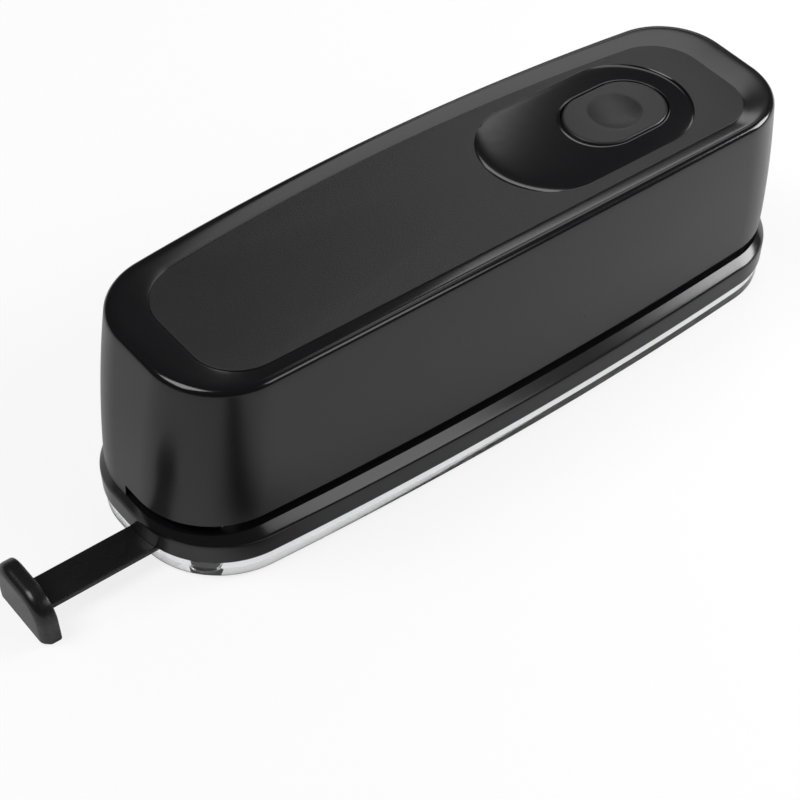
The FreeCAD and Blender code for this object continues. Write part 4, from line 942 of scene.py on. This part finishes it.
def floor_finish():
    """Pale plain floor. The camera and clear plastic see it near white and whiter with
    distance, with its shadows kept, and all other rays see plain matte. Reflections see
    painted shade on it: a soft dark stripe off the front left corner, painted into its colour
    for glossy rays only. The share of dark is exp(-k q^2), with q the distance in metres from
    the stripe's middle line."""
    f = Finish("floor_pale")
    from_line = f.node("ShaderNodeVectorMath", {"operation": "DOT_PRODUCT"},
                       {0: f.place, 1: PAINTED_STRIPE_ACROSS}).out("Value") + PAINTED_STRIPE_OFFSET
    y = f.node("ShaderNodeSeparateXYZ", {}, {0: f.place}).out("Y")
    front = (y * -PAINTED_STRIPE_FADE - PAINTED_STRIPE_FADE_START).clamp()
    # Painted shade: the dark stripe's share, painted into the floor's colour for reflections only
    dark = f.maths("EXPONENT", from_line * from_line * -PAINTED_STRIPE_SHARPNESS)
    glossy = f.node("ShaderNodeLightPath", {}, {}).out("Is Glossy Ray")
    # The floor's colour with the painted dark stripe, which only glossy rays see
    shade = f.blend(dark * front * glossy, (0.9, 0.9, 0.9), (0.02, 0.02, 0.02))
    matte = f.principled(Base_Color=shade, Roughness=1.0, Specular_IOR_Level=0.0)
    glow = f.node("ShaderNodeEmission", {}, {0: WHITE, 1: FLOOR_GLOW}).out()
    far = f.node("ShaderNodeVectorMath", {"operation": "LENGTH"}, {0: f.place}).out("Value")
    share = f.seen() * (GLOW_NEAR + far * GLOW_PER_METRE).clamp()
    return f.closed(f.node("ShaderNodeMixShader", {}, {0: share, 1: matte, 2: glow}).out())


corners = np.array([[-1, -1, 0], [1, -1, 0], [1, 1, 0], [-1, 1, 0]]) * FLOOR_HALF
floor = skin("floor", corners, [[0, 1, 2, 3]], [floor_finish()])


def lamp(name, turn, rise, distance, wide, high, radiance):
    """A soft box that points at the housing from a distance in metres, at a turn from +X and
    a rise over the level in degrees. Its half width and half height are angles in degrees,
    and its face has the given radiance."""
    turn, rise = math.radians(turn), math.radians(rise)
    towards = Vector((math.cos(rise) * math.cos(turn), math.cos(rise) * math.sin(turn), math.sin(rise)))
    data = bpy.data.lights.new(name, "AREA")
    data.shape = "RECTANGLE"
    data.size = 2 * distance * math.tan(math.radians(wide))
    data.size_y = 2 * distance * math.tan(math.radians(high))
    data.energy = radiance * math.pi * data.size * data.size_y
    light = bpy.data.objects.new(name, data)
    light.location = LAMP_AIM + towards * distance
    light.rotation_euler = towards.to_track_quat("Z", "Y").to_euler()
    bpy.context.scene.collection.objects.link(light)


lamp("key", turn=160, rise=56, distance=1.6, wide=15, high=15, radiance=5.6)
lamp("low_back", turn=48, rise=27, distance=1.8, wide=10, high=4, radiance=2.2)
lamp("high_back", turn=36, rise=49, distance=1.8, wide=10, high=9, radiance=1.8)
lamp("overhead", turn=8, rise=66, distance=1.5, wide=12, high=3, radiance=1.5)
lamp("shelf", turn=-66.8, rise=39.4, distance=0.79, wide=9.3, high=10.8, radiance=3.2)
lamp("floor_right", turn=-24, rise=24, distance=0.8, wide=12, high=12, radiance=12.0)


def studio():
    """A dim even room that the camera and clear plastic see as white."""
    world = bpy.data.worlds.new("studio")
    tree = Tree(world)
    room = tree.node("ShaderNodeBackground", {}, {0: WHITE, 1: ROOM_LIGHT}).out()
    white = tree.node("ShaderNodeBackground", {}, {0: WHITE, 1: 1.0}).out()
    both = tree.node("ShaderNodeMixShader", {}, {0: tree.seen(), 1: room, 2: white}).out()
    tree.node("ShaderNodeOutputWorld", {}, {0: both})
    return world


bpy.context.scene.world = studio()

# The camera's place in millimetres about the housing's middle. In degrees, the direction
# back along its line of sight turns from +X and rises over the level, and the picture rolls.
# Lens and sensor are in millimetres, and the shifts, in picture widths, crop a wider picture.
EYE = (-299.903, -358.168, 457.936)
VIEW_TURN = -132.78555
VIEW_RISE = 51.40375
VIEW_ROLL = 3.98467
LENS = 83.145
SENSOR = 36
SHIFT_X = -0.12924
SHIFT_Y = 0.24131


def photo_camera():
    """The camera, turned about Z, tipped about X and rolled about its own line of sight."""
    view = bpy.data.cameras.new("camera")
    view.lens = LENS
    view.sensor_width = SENSOR
    view.shift_x = SHIFT_X
    view.shift_y = SHIFT_Y
    camera = bpy.data.objects.new("camera", view)
    camera.matrix_world = (Matrix.Translation(Vector(metres(EYE)))
                           @ Matrix.Rotation(math.radians(VIEW_TURN + 90), 4, "Z")
                           @ Matrix.Rotation(math.radians(90 - VIEW_RISE), 4, "X")
                           @ Matrix.Rotation(math.radians(VIEW_ROLL), 4, "Z"))
    bpy.context.scene.collection.objects.link(camera)
    return camera


bpy.context.scene.camera = photo_camera()
bpy.context.scene.view_settings.view_transform = "Standard"
